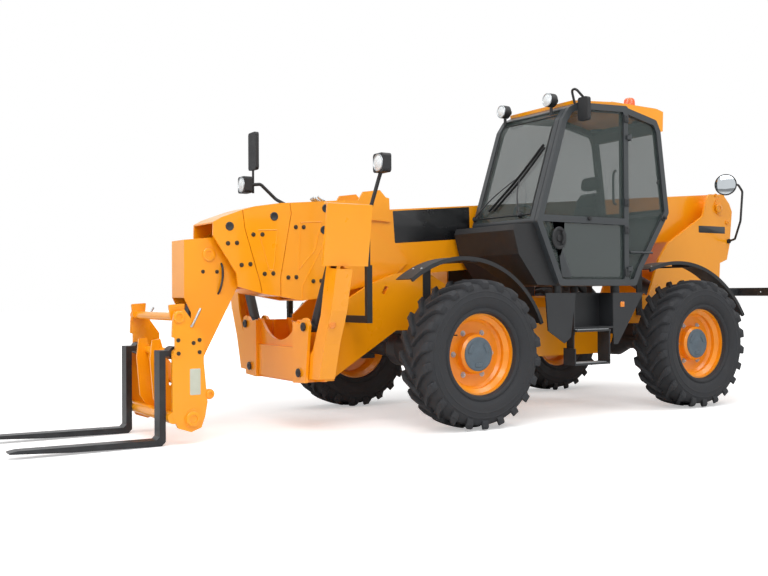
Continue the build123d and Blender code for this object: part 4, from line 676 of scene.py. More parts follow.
@dataclass
class Wheel:
    """One tyre with its lugs, and the wheel nuts and hub cover on its disc; sizes in metres."""

    end: str
    side: str
    lugs: int = 22
    lug_sweep: float = 0.27
    nuts: int = 6
    nut_circle: float = 0.2
    nut_size: float = 0.017
    disc_out: float = 0.0105
    cover_radius: float = 0.143
    cover_out: float = 0.0925
    kidneys: int = 3
    kidney_reach: tuple[float, float] = (0.112, 0.078)
    kidney_half_angle: float = 0.42
    columns: int = 96
    lug_reach: float = 0.6
    valve: tuple[float, float, float] = (0.262, 0.02, 0.9)

    def __post_init__(self) -> None:
        """Find the wheel's centre and its outward direction."""
        self.body = f"wheel_{self.end}_{self.side}"
        self.centre = pin(self.body)
        self.out = math.copysign(1.0, self.centre[1])
        self.axis = self.out * LEFT

    def polar(self, reach: Field, height: Field, angle: Field) -> np.ndarray:
        """Point at a reach from the axis, a height along it and an angle from the top towards the front."""
        reach, height, angle = np.broadcast_arrays(reach, height, angle)
        return self.centre + np.stack((reach * np.sin(angle), height * self.out, reach * np.cos(angle)), axis=-1)

    def carcass(self) -> Patch:
        """Tyre wall and tread base: a closed section of (reach, height) turned about the axle.

        Returns:
            A patch that closes on itself both ways.
        """
        half = np.array(((0.3405, 0.06), (0.3405, 0.128), (0.352, 0.166), (0.366, 0.175), (0.379, 0.1745),
                         (0.385, 0.168), (0.393, 0.1665), (0.402, 0.174), (0.414, 0.183), (0.434, 0.1905),
                         (0.466, 0.1965), (0.476, 0.1972), (0.479, 0.1993), (0.484, 0.1993), (0.487, 0.197),
                         (0.520, 0.1945), (0.5235, 0.1965), (0.529, 0.196), (0.532, 0.192), (0.555, 0.1845),
                         (0.576, 0.172), (0.588, 0.152), (0.594, 0.115), (0.597, 0.06), (0.598, 0.0)))
        full = np.vstack((half, half[-2::-1] * (1.0, -1.0)))
        return grid(self.polar(full[:, 0], full[:, 1], around(self.columns)[:, None]), loop=True)

    def lug(self, hand: float) -> Patch:
        """One tread bar: a section with bevelled shoulders carried from the middle of the tread over its edge.

        Args:
            hand: +1 for the outer half of the tread, -1 for the inner.

        Returns:
            The bar at the top of the wheel.
        """
        # along, base reach, base height, top reach, top height, half width
        rows = np.array(((0.0, 0.590, 0.004, 0.6295, 0.006, 0.015), (0.08, 0.592, 0.016, 0.6312, 0.018, 0.017),
                         (0.35, 0.591, 0.060, 0.6312, 0.060, 0.018), (0.62, 0.587, 0.104, 0.6300, 0.104, 0.019),
                         (0.84, 0.577, 0.142, 0.6270, 0.144, 0.024), (0.95, 0.566, 0.162, 0.6230, 0.168, 0.031),
                         (1.00, 0.556, 0.172, 0.6160, 0.183, 0.033), (1.03, 0.545, 0.180, 0.5980, 0.1975, 0.031),
                         (1.05, 0.535, 0.184, 0.5620, 0.1985, 0.027)))
        along, low_r, low_h, top_r, top_h, half = rows.T[:, :, None]
        across = np.array((-1.25, -1.1, -0.9, 0.9, 1.1, 1.25))[None]
        rise = np.array((0.0, 0.86, 1.0, 1.0, 0.86, 0.0))[None]
        reach = low_r + (top_r - low_r) * rise
        height = (low_h + (top_h - low_h) * rise) * hand
        # the inner bars stand half a pitch away from the outer ones
        shift = 0.0 if hand > 0 else math.pi / self.lugs
        angle = self.lug_sweep * (1.0 - along) + half * across / self.lug_reach + shift
        return grid(self.polar(reach, height, angle))

    def fasteners(self) -> list[Patch]:
        """Wheel nuts on the disc, each with the end of its stud.

        Returns:
            Washers, heads and studs.
        """
        made = []
        for place in self.polar(self.nut_circle, self.disc_out, around(self.nuts) + math.pi / 2.0):
            made += hex_bolt(place, self.axis, self.nut_size)
            made.append(lathe([(0.0, 0.0), (0.0085, 0.0), (0.0085, 0.026), (0.006, 0.029), (0.0, 0.029)],
                              place, self.axis, 10))
        return made

    def cover(self) -> list[Patch]:
        """Hub cover: a turned dish with raised kidneys, each the area between two arcs.

        Returns:
            The dish and its kidneys.
        """
        foot, r = self.centre + self.axis * self.cover_out, self.cover_radius
        made = [lathe([(0.0, -0.002), (r, -0.002), (r, 0.005), (r - 0.004, 0.009), (r - 0.016, 0.0105),
                       (r - 0.022, 0.0085), (0.046, 0.0085), (0.040, 0.011), (0.0, 0.012)], foot, self.axis, 64)]
        sweep = np.linspace(-self.kidney_half_angle, self.kidney_half_angle, 9)
        arc = np.column_stack((np.cos(sweep), np.sin(sweep)))
        kidney = np.vstack((self.kidney_reach[0] * arc, self.kidney_reach[1] * arc[::-1]))
        for turn in around(self.kidneys) + 0.5:
            level = math.cos(turn) * AHEAD + math.sin(turn) * UP
            made.append(plate(kidney, 0.011, foot + self.axis * 0.004, level, np.cross(self.axis, level), 0.005))
        return made

    def build(self) -> None:
        """Make the tyre, the nuts, the hub cover and the valve."""
        which = f"{self.end}_{self.side}"
        spin = turns(self.lugs, self.centre, LEFT)
        parts = [self.carcass()] + [self.lug(hand).through(spin) for hand in (1.0, -1.0)]
        tyre = add_piece(f"tread_{which}", parts, RUBBER, self.body, smooth=32.0)
        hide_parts(f"tyre_{which}")
        add_piece(f"nuts_{which}", self.fasteners(), ZINC, self.body)
        add_piece(f"hub_cover_{which}", self.cover(), HUB_GREY, self.body)
        stem = lathe([(0.0, 0.0), (0.006, 0.0), (0.005, 0.035), (0.0062, 0.037), (0.0062, 0.05), (0.0, 0.052)],
                     self.polar(*self.valve), self.axis, 10)
        add_piece(f"valve_{which}", [stem], BLACK_PLASTIC, self.body)


@dataclass
class Beacon:
    """Ribbed orange dome on its black collar; sizes in metres."""

    ribs: int = 48
    collar: float = 0.024
    groove: float = 0.965
    groove_top: float = 0.8

    def build(self) -> None:
        """Make the collar and the dome, whose every second column is drawn in up to near the top."""
        low, high = low_high("beacon")
        foot = np.array((*(low[:2] + high[:2]) / 2.0, low[2]))
        r, tall = (high[0] - low[0]) / 2.0, high[2] - low[2]
        base = lathe([(0.0, 0.0), (r, 0.0), (r, self.collar * 0.6), (r * 0.93, self.collar), (0.0, self.collar)],
                     foot, UP, 48)
        made = add_piece("beacon_collar", [base], BLACK_PLASTIC)
        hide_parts("beacon")
        rise = np.array((0.0, 0.02, 0.3, 0.62, 0.8, 0.92, 0.98, 1.0))
        wide = np.array((0.86, 0.88, 0.87, 0.84, 0.78, 0.62, 0.36, 0.0)) * r
        dome = lathe(np.column_stack((wide, self.collar + (tall - self.collar) * rise)), foot, UP, self.ribs * 2)
        out = dome.points - foot
        ribbed = (np.arange(len(out)) % 2 == 0) & (out[:, 2] < tall * self.groove_top)
        dome.points[:, :2] = foot[:2] + out[:, :2] * np.where(ribbed, self.groove, 1.0)[:, None]
        add_piece("beacon_dome", [dome], BEACON, smooth=20.0)


@dataclass
class Seat:
    """Sprung driver's seat: stuffed cushion, back and headrest on a bellows; sizes in metres."""

    depth: float = 0.43
    width: float = 0.46
    thick: float = 0.10
    top: float = 0.365
    recline: float = 0.14
    swell: float = 0.012
    channel: float = 0.006
    voxel: float = 0.008
    pressure: float = 4.0
    settling_frames: int = 12
    folds: int = 15

    @staticmethod
    def read(pad: bpy.types.Object, attribute: str) -> np.ndarray:
        """One vector attribute of all the pad's vertices.

        Args:
            pad: the padded piece.
            attribute: the vertex attribute's name.

        Returns:
            One row for each vertex.
        """
        values = np.zeros(len(pad.data.vertices) * 3)
        pad.data.vertices.foreach_get(attribute, values)
        return values.reshape(-1, 3)

    @staticmethod
    def settle(pad: bpy.types.Object, modifier: str) -> None:
        """Apply one modifier by taking the evaluated mesh in its place.

        Args:
            pad: the padded piece.
            modifier: the modifier's name.
        """
        graph = bpy.context.evaluated_depsgraph_get()
        shaped = bpy.data.meshes.new_from_object(pad.evaluated_get(graph))
        shaped.materials.clear()
        shaped.materials.append(pad.data.materials[0])
        pad.modifiers.remove(pad.modifiers[modifier])
        pad.data = shaped
        pad.data.polygons.foreach_set("use_smooth", np.ones(len(pad.data.polygons), bool))

    def stuffed(self, name: str, patch: Patch,
                channels: Callable[[np.ndarray], np.ndarray] | None = None) -> bpy.types.Object:
        """A padded piece: the shell is remeshed, blown up as cloth, capped and smoothed once.

        Each point moves the way the cloth went, by the swell at most, and then inwards where a channel lies.

        Args:
            name: the piece's name.
            patch: its shell, a little smaller than the finished pad.
            channels: function from points to how deep a sewn channel lies there, or none.

        Returns:
            The finished pad.
        """
        pad = add_piece(name, [patch], SEAT_CLOTH, smooth=180.0)
        bpy.context.view_layer.objects.active = pad
        mesher = pad.modifiers.new("mesher", "REMESH")
        mesher.mode, mesher.voxel_size = "VOXEL", self.voxel
        self.settle(pad, "mesher")
        start = self.read(pad, "co")
        cloth = pad.modifiers.new("stuffing", "CLOTH")
        cloth.settings.use_pressure = True
        cloth.settings.uniform_pressure_force = self.pressure
        cloth.settings.effector_weights.gravity = 0.0
        for step in range(1, self.settling_frames + 1):
            bpy.context.scene.frame_set(step)
        self.settle(pad, "stuffing")
        bpy.context.scene.frame_set(1)
        move = self.read(pad, "co") - start
        far = np.linalg.norm(move, axis=1)[:, None]
        shape = start + move * np.minimum(1.0, self.swell / np.maximum(far, 1e-9))
        if channels:
            shape -= self.read(pad, "normal") * channels(shape)[:, None]
        pad.data.vertices.foreach_set("co", shape.ravel())
        pad.data.update()
        smoother = pad.modifiers.new("smoother", "SUBSURF")
        smoother.levels = smoother.render_levels = 1
        self.settle(pad, "smoother")
        return pad

    def bell(self, away: np.ndarray) -> np.ndarray:
        """A channel's section: a narrow bell curve of the distance from its middle."""
        return np.exp(-(away / self.channel) ** 2)

    def bellows(self, place: np.ndarray, top: float) -> list[Patch]:
        """Folded rubber base, every second ring drawn in, and the deck on it.

        Args:
            place: the middle of its foot.
            top: the height of the deck's back.

        Returns:
            The bellows and the deck.
        """
        count = self.folds
        folds = 1.0 - 0.06 * (np.arange(count) % 2)
        outline = soft_outline(rectangle(0.34, 0.30), 0.05)
        rings = np.stack([np.column_stack((outline * wide, np.full(len(outline), rise)))
                          for wide, rise in zip(folds, np.linspace(0.0, top - 0.001 - place[2], count))])
        deck = tablet((0.42, 0.40, 0.02), 0.04, (place[0], place[1], top), AHEAD, LEFT, 0.005)
        return [grid(rings + place), deck]

    def build(self) -> None:
        """Make the bellows and deck, the three pads and the headrest's posts."""
        low, high = low_high("seat")
        x, y = low[0] + 0.36, (low[1] + high[1]) / 2.0
        seat_top = low[2] + self.top
        base = add_piece("seat_bellows", self.bellows(np.array((x, y, low[2])), seat_top - self.thick - 0.021),
                         BLACK_PLASTIC)
        middle = seat_top - self.thick / 2.0
        cushion = pillow((self.depth, self.width - 0.03, self.thick - 0.015), (x + 0.02, y, middle),
                         (AHEAD, LEFT, UP), 5.0, 14, 40)
        lean = math.cos(self.recline) * UP - math.sin(self.recline) * AHEAD
        axes = (np.cross(LEFT, lean), LEFT, lean)
        foot = np.array((x - self.depth / 2.0 + 0.045, y, seat_top))
        back = pillow((0.09, self.width - 0.07, 0.50), foot + lean * 0.26, axes, 5.0, 24, 40)
        taper = np.clip((back.points - foot) @ lean / 0.5, 0.0, 1.0)
        back.points[:, 1] = y + (back.points[:, 1] - y) * (1.0 - 0.22 * taper ** 2)
        head = pillow((0.075, 0.24, 0.13), foot + lean * 0.60, axes, 4.0, 16, 32)

        def cushion_channels(points: np.ndarray) -> np.ndarray:
            """Two channels along the cushion's upper half and one across it."""
            lines = np.maximum(self.bell(np.abs(points[:, 1] - y) - 0.135), self.bell(points[:, 0] - x - 0.06))
            return self.channel * lines * (points[:, 2] > middle)

        def back_channels(points: np.ndarray) -> np.ndarray:
            """Two channels up the back, and two across it between them.

            Args:
                points: rows of x, y, z.

            Returns:
                How deep a channel lies at each point.
            """
            rise, side = (points - foot) @ lean, np.abs(points[:, 1] - y)
            cross = np.maximum(self.bell(rise - 0.17), self.bell(rise - 0.36)) * (side < 0.115)
            return self.channel * np.maximum(self.bell(side - 0.115), cross)

        pads = [self.stuffed("seat_cushion", cushion, cushion_channels),
                self.stuffed("seat_back", back, back_channels), self.stuffed("seat_headrest", head)]
        for made in [base] + pads:
            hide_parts("seat")
        posts = [tube(bend([foot + lean * rise + LEFT * side for rise in (0.46, 0.62)]), 0.006, 8)
                 for side in (-0.05, 0.05)]
        add_piece("seat_posts", posts, CHROME)


@dataclass
class Cab:
    """Wipers, door furniture, seals, levers, speakers and hinges of the cab; sizes in metres."""

    door_face: float = 1.158
    panel_back: float = 1.146
    pane_face: float = 1.1405
    lock_stretch: tuple[float, float, float] = (0.92, 1.0, 1.12)
    in_front: float = 1.0
    beyond_door: float = 1.6
    seal: float = 0.007
    seal_sides: tuple[float, float] = (0.312, 1.032)
    seal_ends: tuple[float, float] = (1.84, 2.74)
    hinge_heights: tuple[float, ...] = (2.764, 1.981, 1.724, 1.327)

    def glass(self, y: float, z: float, node: str = "cab_glass") -> tuple[np.ndarray, np.ndarray]:
        """Point of the windscreen, or of another node, at a side and a height, and its direction."""
        return land(node, (self.in_front, y, z), -AHEAD)

    def wipers(self) -> None:
        """Two wipers: a pivot cap, an arm and a blade that lie on the windscreen."""
        steel, rubber = [], []
        for foot, node, line in (
                ((0.272, 1.838), "cab_frame", ((0.45, 1.90), (0.74, 2.17), (1.00, 2.47))),
                ((0.905, 1.836), "cab_glass", ((0.52, 1.90), (0.80, 2.17), (1.02, 2.44)))):
            spots = [self.glass(*spot) for spot in line]
            path = bend([place + normal * 0.020 for place, normal in spots], 8)
            rubber.append(tube(path, 0.008, 8, flat=spots[0][1], squash=1.5))
            rubber.append(tube(path - spots[0][1] * 0.012, 0.0035, 6))
            base, normal = self.glass(*foot, node)
            steel.append(lathe([(0.0, -0.01), (0.024, -0.01), (0.024, 0.022), (0.016, 0.034), (0.0, 0.036)],
                               base, normal, 20))
            middle = path[len(path) // 2]
            arm = bend([base + normal * 0.028, (base + middle) / 2.0 + normal * 0.045, middle + normal * 0.014], 8)
            steel.append(tube(arm, np.linspace(0.011, 0.006, len(arm)), 8, flat=normal, squash=0.6))
        add_piece("wiper_arms", steel, BLACK_STEEL)
        add_piece("wiper_blades", rubber, SEAL_RUBBER)

    def quarter_window(self) -> None:
        """Catch, hook and low rail of the rear side window."""
        knob = lathe([(0.0, -0.004), (0.030, -0.004), (0.032, 0.004), (0.027, 0.012), (0.012, 0.014),
                      (0.011, 0.03), (0.016, 0.036), (0.0, 0.040)], (-1.877, 1.112, 1.858), LEFT, 28)
        hook = tube(bend([(-1.83, 1.10, 2.214), (-1.80, 1.128, 2.214), (-1.775, 1.128, 2.20),
                          (-1.78, 1.128, 2.18)]), 0.006, 8)
        rail = tube(bend([(-1.40, 1.122, 1.52), (-1.56, 1.124, 1.52), (-1.70, 1.122, 1.52)]), 0.018, 12,
                    flat=UP, squash=0.6)
        add_piece("quarter_window_catch", [knob, hook], BLACK_PLASTIC)
        add_piece("quarter_window_rail", [rail], CAB_PAINT)

    def lock(self) -> None:
        """Oval lock ring with its grip and button, and the rail's knob."""
        place = np.array((-0.473, self.door_face, 1.627))
        oval = lathe([(0.0, 0.0), (0.090, 0.0), (0.090, 0.010), (0.084, 0.016), (0.070, 0.017), (0.063, 0.012),
                      (0.060, 0.004), (0.030, 0.003), (0.026, 0.012), (0.0, 0.014)], place, LEFT, 48)
        oval.points = place + (oval.points - place) * self.lock_stretch
        grip = tube(place + bend([(-0.030, 0.016, -0.050), (-0.042, 0.026, 0.0), (-0.030, 0.016, 0.055)]),
                    0.011, 10)
        knob = lathe([(0.0, -0.004), (0.022, -0.004), (0.022, 0.008), (0.017, 0.018), (0.0, 0.02)],
                     land("door", (-0.846, self.beyond_door, 1.815), -LEFT)[0], LEFT, 24)
        add_piece("door_lock", [oval, grip, knob], BLACK_PLASTIC, "door")

    def door_furniture(self) -> None:
        """Lock, front lower panel, a dark sheet of painted shade on the lower pane, hinge caps and inner handle.

        The two sheets are drawn looking inwards at the door, with x towards the back of the machine.
        """
        self.lock()
        panel = soft_outline(((0.405, 1.78), (0.555, 1.78), (0.520, 1.74), (0.500, 1.695), (0.530, 1.63),
                              (0.532, 1.566), (0.486, 1.477), (0.514, 1.278), (0.640, 1.278)), 0.03)
        # film outlines the dark sheet of painted shade that lies over the lower pane
        film = soft_outline(((0.44, 1.765), (1.255, 1.765), (1.255, 1.285), (0.62, 1.285)), 0.04)
        for name, sheet, thick, face, edge, finish in (
                ("door_front_panel", panel, 0.008, self.panel_back, 0.003, CAB_PAINT),
                ("door_lower_painted_shade", film, 0.002, self.pane_face, 0.0, PAINTED_SHADE_PANE)):
            add_piece(name, [plate(anticlockwise(sheet), thick, face * LEFT, -AHEAD, UP, edge)], finish, "door")
        caps = []
        for height in self.hinge_heights:
            spot = land("door", (-1.325, self.beyond_door, height), -LEFT)[0]
            caps.append(tablet((0.055, 0.075, 0.014), 0.014, spot - LEFT * 0.002, -AHEAD, UP, 0.005))
            for rise in (0.018, -0.018):
                caps += dome_bolt(spot + LEFT * 0.012 + UP * rise, LEFT, 0.008)
        add_piece("door_hinge_caps", caps, BLACK_STEEL, "door")
        handle = bend([(-1.237, 1.112, 1.96), (-1.237, 1.082, 1.99), (-1.237, 1.078, 2.12), (-1.237, 1.082, 2.25),
                       (-1.237, 1.112, 2.28)])
        add_piece("door_inner_handle", [tube(handle, 0.011, 10)], BLACK_PLASTIC, "door")

    def seals(self) -> None:
        """Rubber seal near the windscreen's edges: a tube along each line of points on the glass."""
        lines = [([(y, z) for z in (1.84, 2.0, 2.2, 2.4, 2.6, 2.74)], 6) for y in self.seal_sides]
        lines += [([(y, z) for y in (0.312, 0.55, 0.80, 1.032)], 4) for z in self.seal_ends]
        add_piece("windscreen_seal", [tube(bend([self.glass(*spot)[0] for spot in line], steps), self.seal, 8)
                                      for line, steps in lines], SEAL_RUBBER)

    def controls(self) -> None:
        """Two levers on the console: a gaiter of shrinking folds, a stalk and a grip."""
        gaiters, grips = [], []
        steps = np.arange(9)
        folds = np.column_stack((0.042 - 0.0028 * steps - 0.006 * (steps % 2), 0.008 * steps))
        folds = np.vstack(((0.0, 0.0), folds, (0.0, 0.066)))
        for x, y, tall, lean in ((-0.98, 0.415, 0.20, (0.05, 0.0, 0.2)), (-1.12, 0.40, 0.13, (0.0, 0.0, 0.13))):
            foot, lean = land("cab_console", (x, y, 3.0), -UP)[0], unit(lean)
            top = foot + lean * tall
            gaiters += [lathe(folds, foot, lean, 24), tube(bend([foot + lean * 0.05, top]), 0.007, 8)]
            grips.append(pillow((0.05, 0.045, 0.10), top + UP * 0.03, np.eye(3), 3.0, 12, 20))
        add_piece("lever_gaiters", gaiters, SEAL_RUBBER)
        add_piece("lever_grips", grips, BLACK_PLASTIC)

    def speakers(self) -> None:
        """Two round grilles under the roof, their face turned in steps."""
        rows = [(0.0, -0.004), (0.07, -0.004), (0.07, 0.008), (0.062, 0.012)]
        rows += [(r, 0.010 + 0.003 * (i % 2)) for i, r in enumerate(np.arange(0.056, 0.004, -0.006))]
        rings = [lathe(rows + [(0.0, 0.012)], land("cab_roof", (-1.757, y, 2.0), UP)[0], -UP, 36)
                 for y in (0.36, 0.93)]
        add_piece("roof_speakers", rings, GREY_PLASTIC)

    def build(self) -> None:
        """Make all of the cab's small pieces."""
        for make in (self.wipers, self.door_furniture, self.quarter_window, self.seals, self.controls,
                     self.speakers):
            make()


@dataclass
class Boom:
    """Bolts, pins, beads, hoses and panels of the boom.

    A place on the boom is given in millimetres along and above its line, and everything else in metres.
    """

    root: tuple[float, float] = (-3.68, 2.107)
    drop: float = math.radians(4.65)
    bolt: float = 0.013
    bead: float = 0.0045
    hose: float = 0.012
    beyond: float = 0.9
    over: float = 700.0

    def at(self, along: float, above: float, y: float = 0.0) -> np.ndarray:
        """Point of the machine at a length along the boom and a height above its line.

        Args:
            along: the length in millimetres.
            above: the height in millimetres.
            y: how far to the left it lies, in metres.

        Returns:
            The boom's root, plus the length down its slope, plus the height square to it.
        """
        c, s = math.cos(self.drop), math.sin(self.drop)
        return np.array((self.root[0] + (along * c + above * s) / 1000.0, y,
                         self.root[1] + (-along * s + above * c) / 1000.0))

    def on_plate(self, node: str, along: float, above: float, side: float) -> np.ndarray:
        """Point on a section's outer side plate."""
        return land(node, self.at(along, above, side * self.beyond), -side * LEFT)[0]

    def build(self) -> None:
        """Make the bolts and pins of each section, the raised beads, the hoses and the side panels."""
        table = (
            ("boom_outer", ((5343, 38), (5268, 34), (5450, -382), (5375, -385), (5215, -432), (5139, -435)),
             ((5039, 186), (5071, 0))),
            ("boom_second", ((5740, -4), (5658, -8), (5666, -335), (5587, -337)), ((5538, 138),)),
            ("boom_third", ((5971, -63), (5892, -64), (5866, -247), (5788, -246)), ((5944, 75),)),
        )
        boss = [(0.0, -0.003), (0.036, -0.003), (0.036, 0.004), (0.030, 0.007), (0.024, 0.004), (0.0, 0.003)]
        for node, bolts, pins in table:
            heads, bosses = [], []
            for _, side in SIDES:
                for spot in bolts:
                    heads += hex_bolt(self.on_plate(node, *spot, side), side * LEFT, self.bolt)
                bosses += [lathe(boss, self.on_plate(node, *spot, side), side * LEFT, 28) for spot in pins]
            add_piece(f"{node}_bolts", heads, ZINC_DARK, node)
            add_piece(f"{node}_pins", bosses, BLACK_STEEL, node)
        self.beads()
        self.hoses()
        self.panels()

    def beads(self) -> None:
        """Raised weld beads on the head plates: tubes half sunk along each line.

        A line of four corners is closed.
        """
        table = (
            ("boom_second", ((5692, 31), (5517, 23), (5584, -309), (5622, -306))),
            ("boom_outer", ((5292, 75), (5090, 73), (5176, -166), (5351, -326))),
            ("boom_outer", ((4839, 249), (5323, -470), (5334, -590))),
        )
        for number, (node, line) in enumerate(table):
            line += line[:1] if len(line) == 4 else ()
            tubes = []
            for _, side in SIDES:
                spots = np.array([self.on_plate(node, *corner, side) for corner in line])
                runs = [np.linspace(a, b, 8, endpoint=False) for a, b in zip(spots, spots[1:])]
                tubes.append(tube(np.vstack(runs + [spots[-1:]]), self.bead, 8))
            add_piece(f"{node}_bead_{number}", tubes, BODY_PAINT, node)

    def hoses(self) -> None:
        """Hoses with crimped ends that lie on the boom behind its head."""
        crimp = [(0.0, -0.01), (0.015, -0.01), (0.015, 0.03), (0.012, 0.034), (0.012, 0.05), (0.0, 0.05)]
        tubes, ends = [], []
        for i, y in enumerate((-0.10, -0.06, -0.02, 0.03)):
            # each hose wanders a little sideways, and every second one lies higher
            path = bend([land("boom_outer", self.at(along, self.over, y), -UP)[0]
                         + (0.0, 0.004 * math.sin(along + i), 0.017 + 0.006 * (i % 2))
                         for along in (4420, 4600, 4780, 4930)], 6)
            tubes.append(tube(path, self.hose, 10))
            ahead = unit(path[-1] - path[-2])
            ends += [lathe(crimp, path[-1], ahead, 10), lathe(crimp, path[0], -ahead, 10)]
        add_piece("boom_hoses", tubes, SEAL_RUBBER, "boom_outer")
        add_piece("boom_hose_ends", ends, ZINC, "boom_outer")

    def panels(self) -> None:
        """Plain black panel on each side of the boom: the outline of its corners, laid flat on the plate."""
        patches = []
        for _, side in SIDES:
            spots = np.array([self.on_plate("boom_outer", *corner, side)
                              for corner in ((4338, 137), (3465, 141), (3480, -160), (4340, -155))])
            middle = spots.mean(axis=0)
            level = unit(self.at(1, 0) - self.at(0, 0)) * -side
            up = np.cross(side * LEFT, level)
            flat = np.stack(((spots - middle) @ level, (spots - middle) @ up), axis=1)
            patches.append(plate(soft_outline(anticlockwise(flat), 0.012), 0.0022, middle - side * 0.0008 * LEFT,
                                 level, up, 0.0008))
        add_piece("boom_side_panels", patches, PANEL_BLACK, "boom_outer")


@dataclass
class Lights:
    """Lenses and bezels of the lamps and glass of the mirrors; sizes in metres."""

    bezel: float = 0.006
    ripple: float = 0.0009
    dome: float = 0.016
    tail_sink: float = 0.0105
    glass_thick: float = 0.004
    film: float = 0.001
    before: float = 0.6
    behind: float = -5.5

    def lens(self, place: np.ndarray, radius: float) -> Patch:
        """Lens with moulded rings: a shallow dome whose height ripples with the radius.

        Args:
            place: the middle of its foot.
            radius: its radius.

        Returns:
            A closed patch that faces forwards.
        """
        r = np.linspace(radius, 0.0, 14)
        height = self.dome * (1.0 - (r / radius) ** 2) + self.ripple * np.cos(r * 500.0)
        return lathe(np.vstack(((radius, -0.004), np.column_stack((r, height)))), place, AHEAD, 40)

    def build(self) -> None:
        """Make the lenses and bezels, the mirror glass and the tail lenses."""
        lenses, rims = [], []
        for x, y, z, r in ((-0.54, 0.30, 2.893, 0.062), (-0.54, 0.95, 2.893, 0.062), (1.24, 0.87, 2.21, 0.074),
                           (1.66, -0.90, 2.183, 0.074)):
            spot = land("lamps", (x + self.before, y, z), -AHEAD)[0]
            lenses.append(self.lens(spot + AHEAD * self.film, r * 0.84))
            rims.append(ring(r * 0.9, self.bezel, spot, AHEAD))
        add_piece("lamp_lenses", lenses, LENS, smooth=60.0)
        add_piece("lamp_bezels", rims, ZINC)
        self.mirror_glass()
        for colour, finish, y in (("red", LENS_RED, 0.93), ("amber", LENS_AMBER, 1.03)):
            spots = [land("lamps", (self.behind, side * y, 1.14), AHEAD)[0] for _, side in SIDES]
            panes = [tablet((0.07, 0.07, 0.010), 0.012, spot + AHEAD * self.tail_sink, -LEFT, edge=0.004)
                     for spot in spots]
            add_piece(f"tail_lenses_{colour}", panes, finish)

    def flat_glass(self, node: str, start: Triple, size: tuple[float, float], corner: float) -> Patch:
        """Upright glass that faces backwards.

        Args:
            node: the housing's node.
            start: where the line that finds the housing starts.
            size: width and height.
            corner: how far from a corner its rounding starts.

        Returns:
            The glass.
        """
        place = land(node, start, AHEAD)[0] + AHEAD * self.film
        return tablet((*size, self.glass_thick), corner, place, -LEFT, edge=0.002)

    def mirror_glass(self) -> None:
        """Silvered glass of the tall mirror, the round rear mirror and the door's mirror."""
        look = unit((0.8, 0.6, 0.0))
        place = land("mirrors", np.array((-3.425, 0.64, 2.318)) + look, -look)[0]
        round_glass = lathe([(0.0, -0.002), (0.104, -0.002), (0.103, 0.002), (0.08, 0.006), (0.04, 0.009),
                             (0.0, 0.010)], place, look, 48)
        tall_glass = self.flat_glass("mirrors", (0.5, -0.90, 2.51), (0.145, 0.335), 0.02)
        add_piece("mirror_glass", [round_glass, tall_glass], MIRROR_GLASS)
        door_glass = self.flat_glass("door_mirror", (-2.0, low_high("door_mirror")[1][1] - 0.0645, 2.785),
                                     (0.10, 0.175), 0.018)
        add_piece("door_mirror_glass", [door_glass], MIRROR_GLASS, "door")


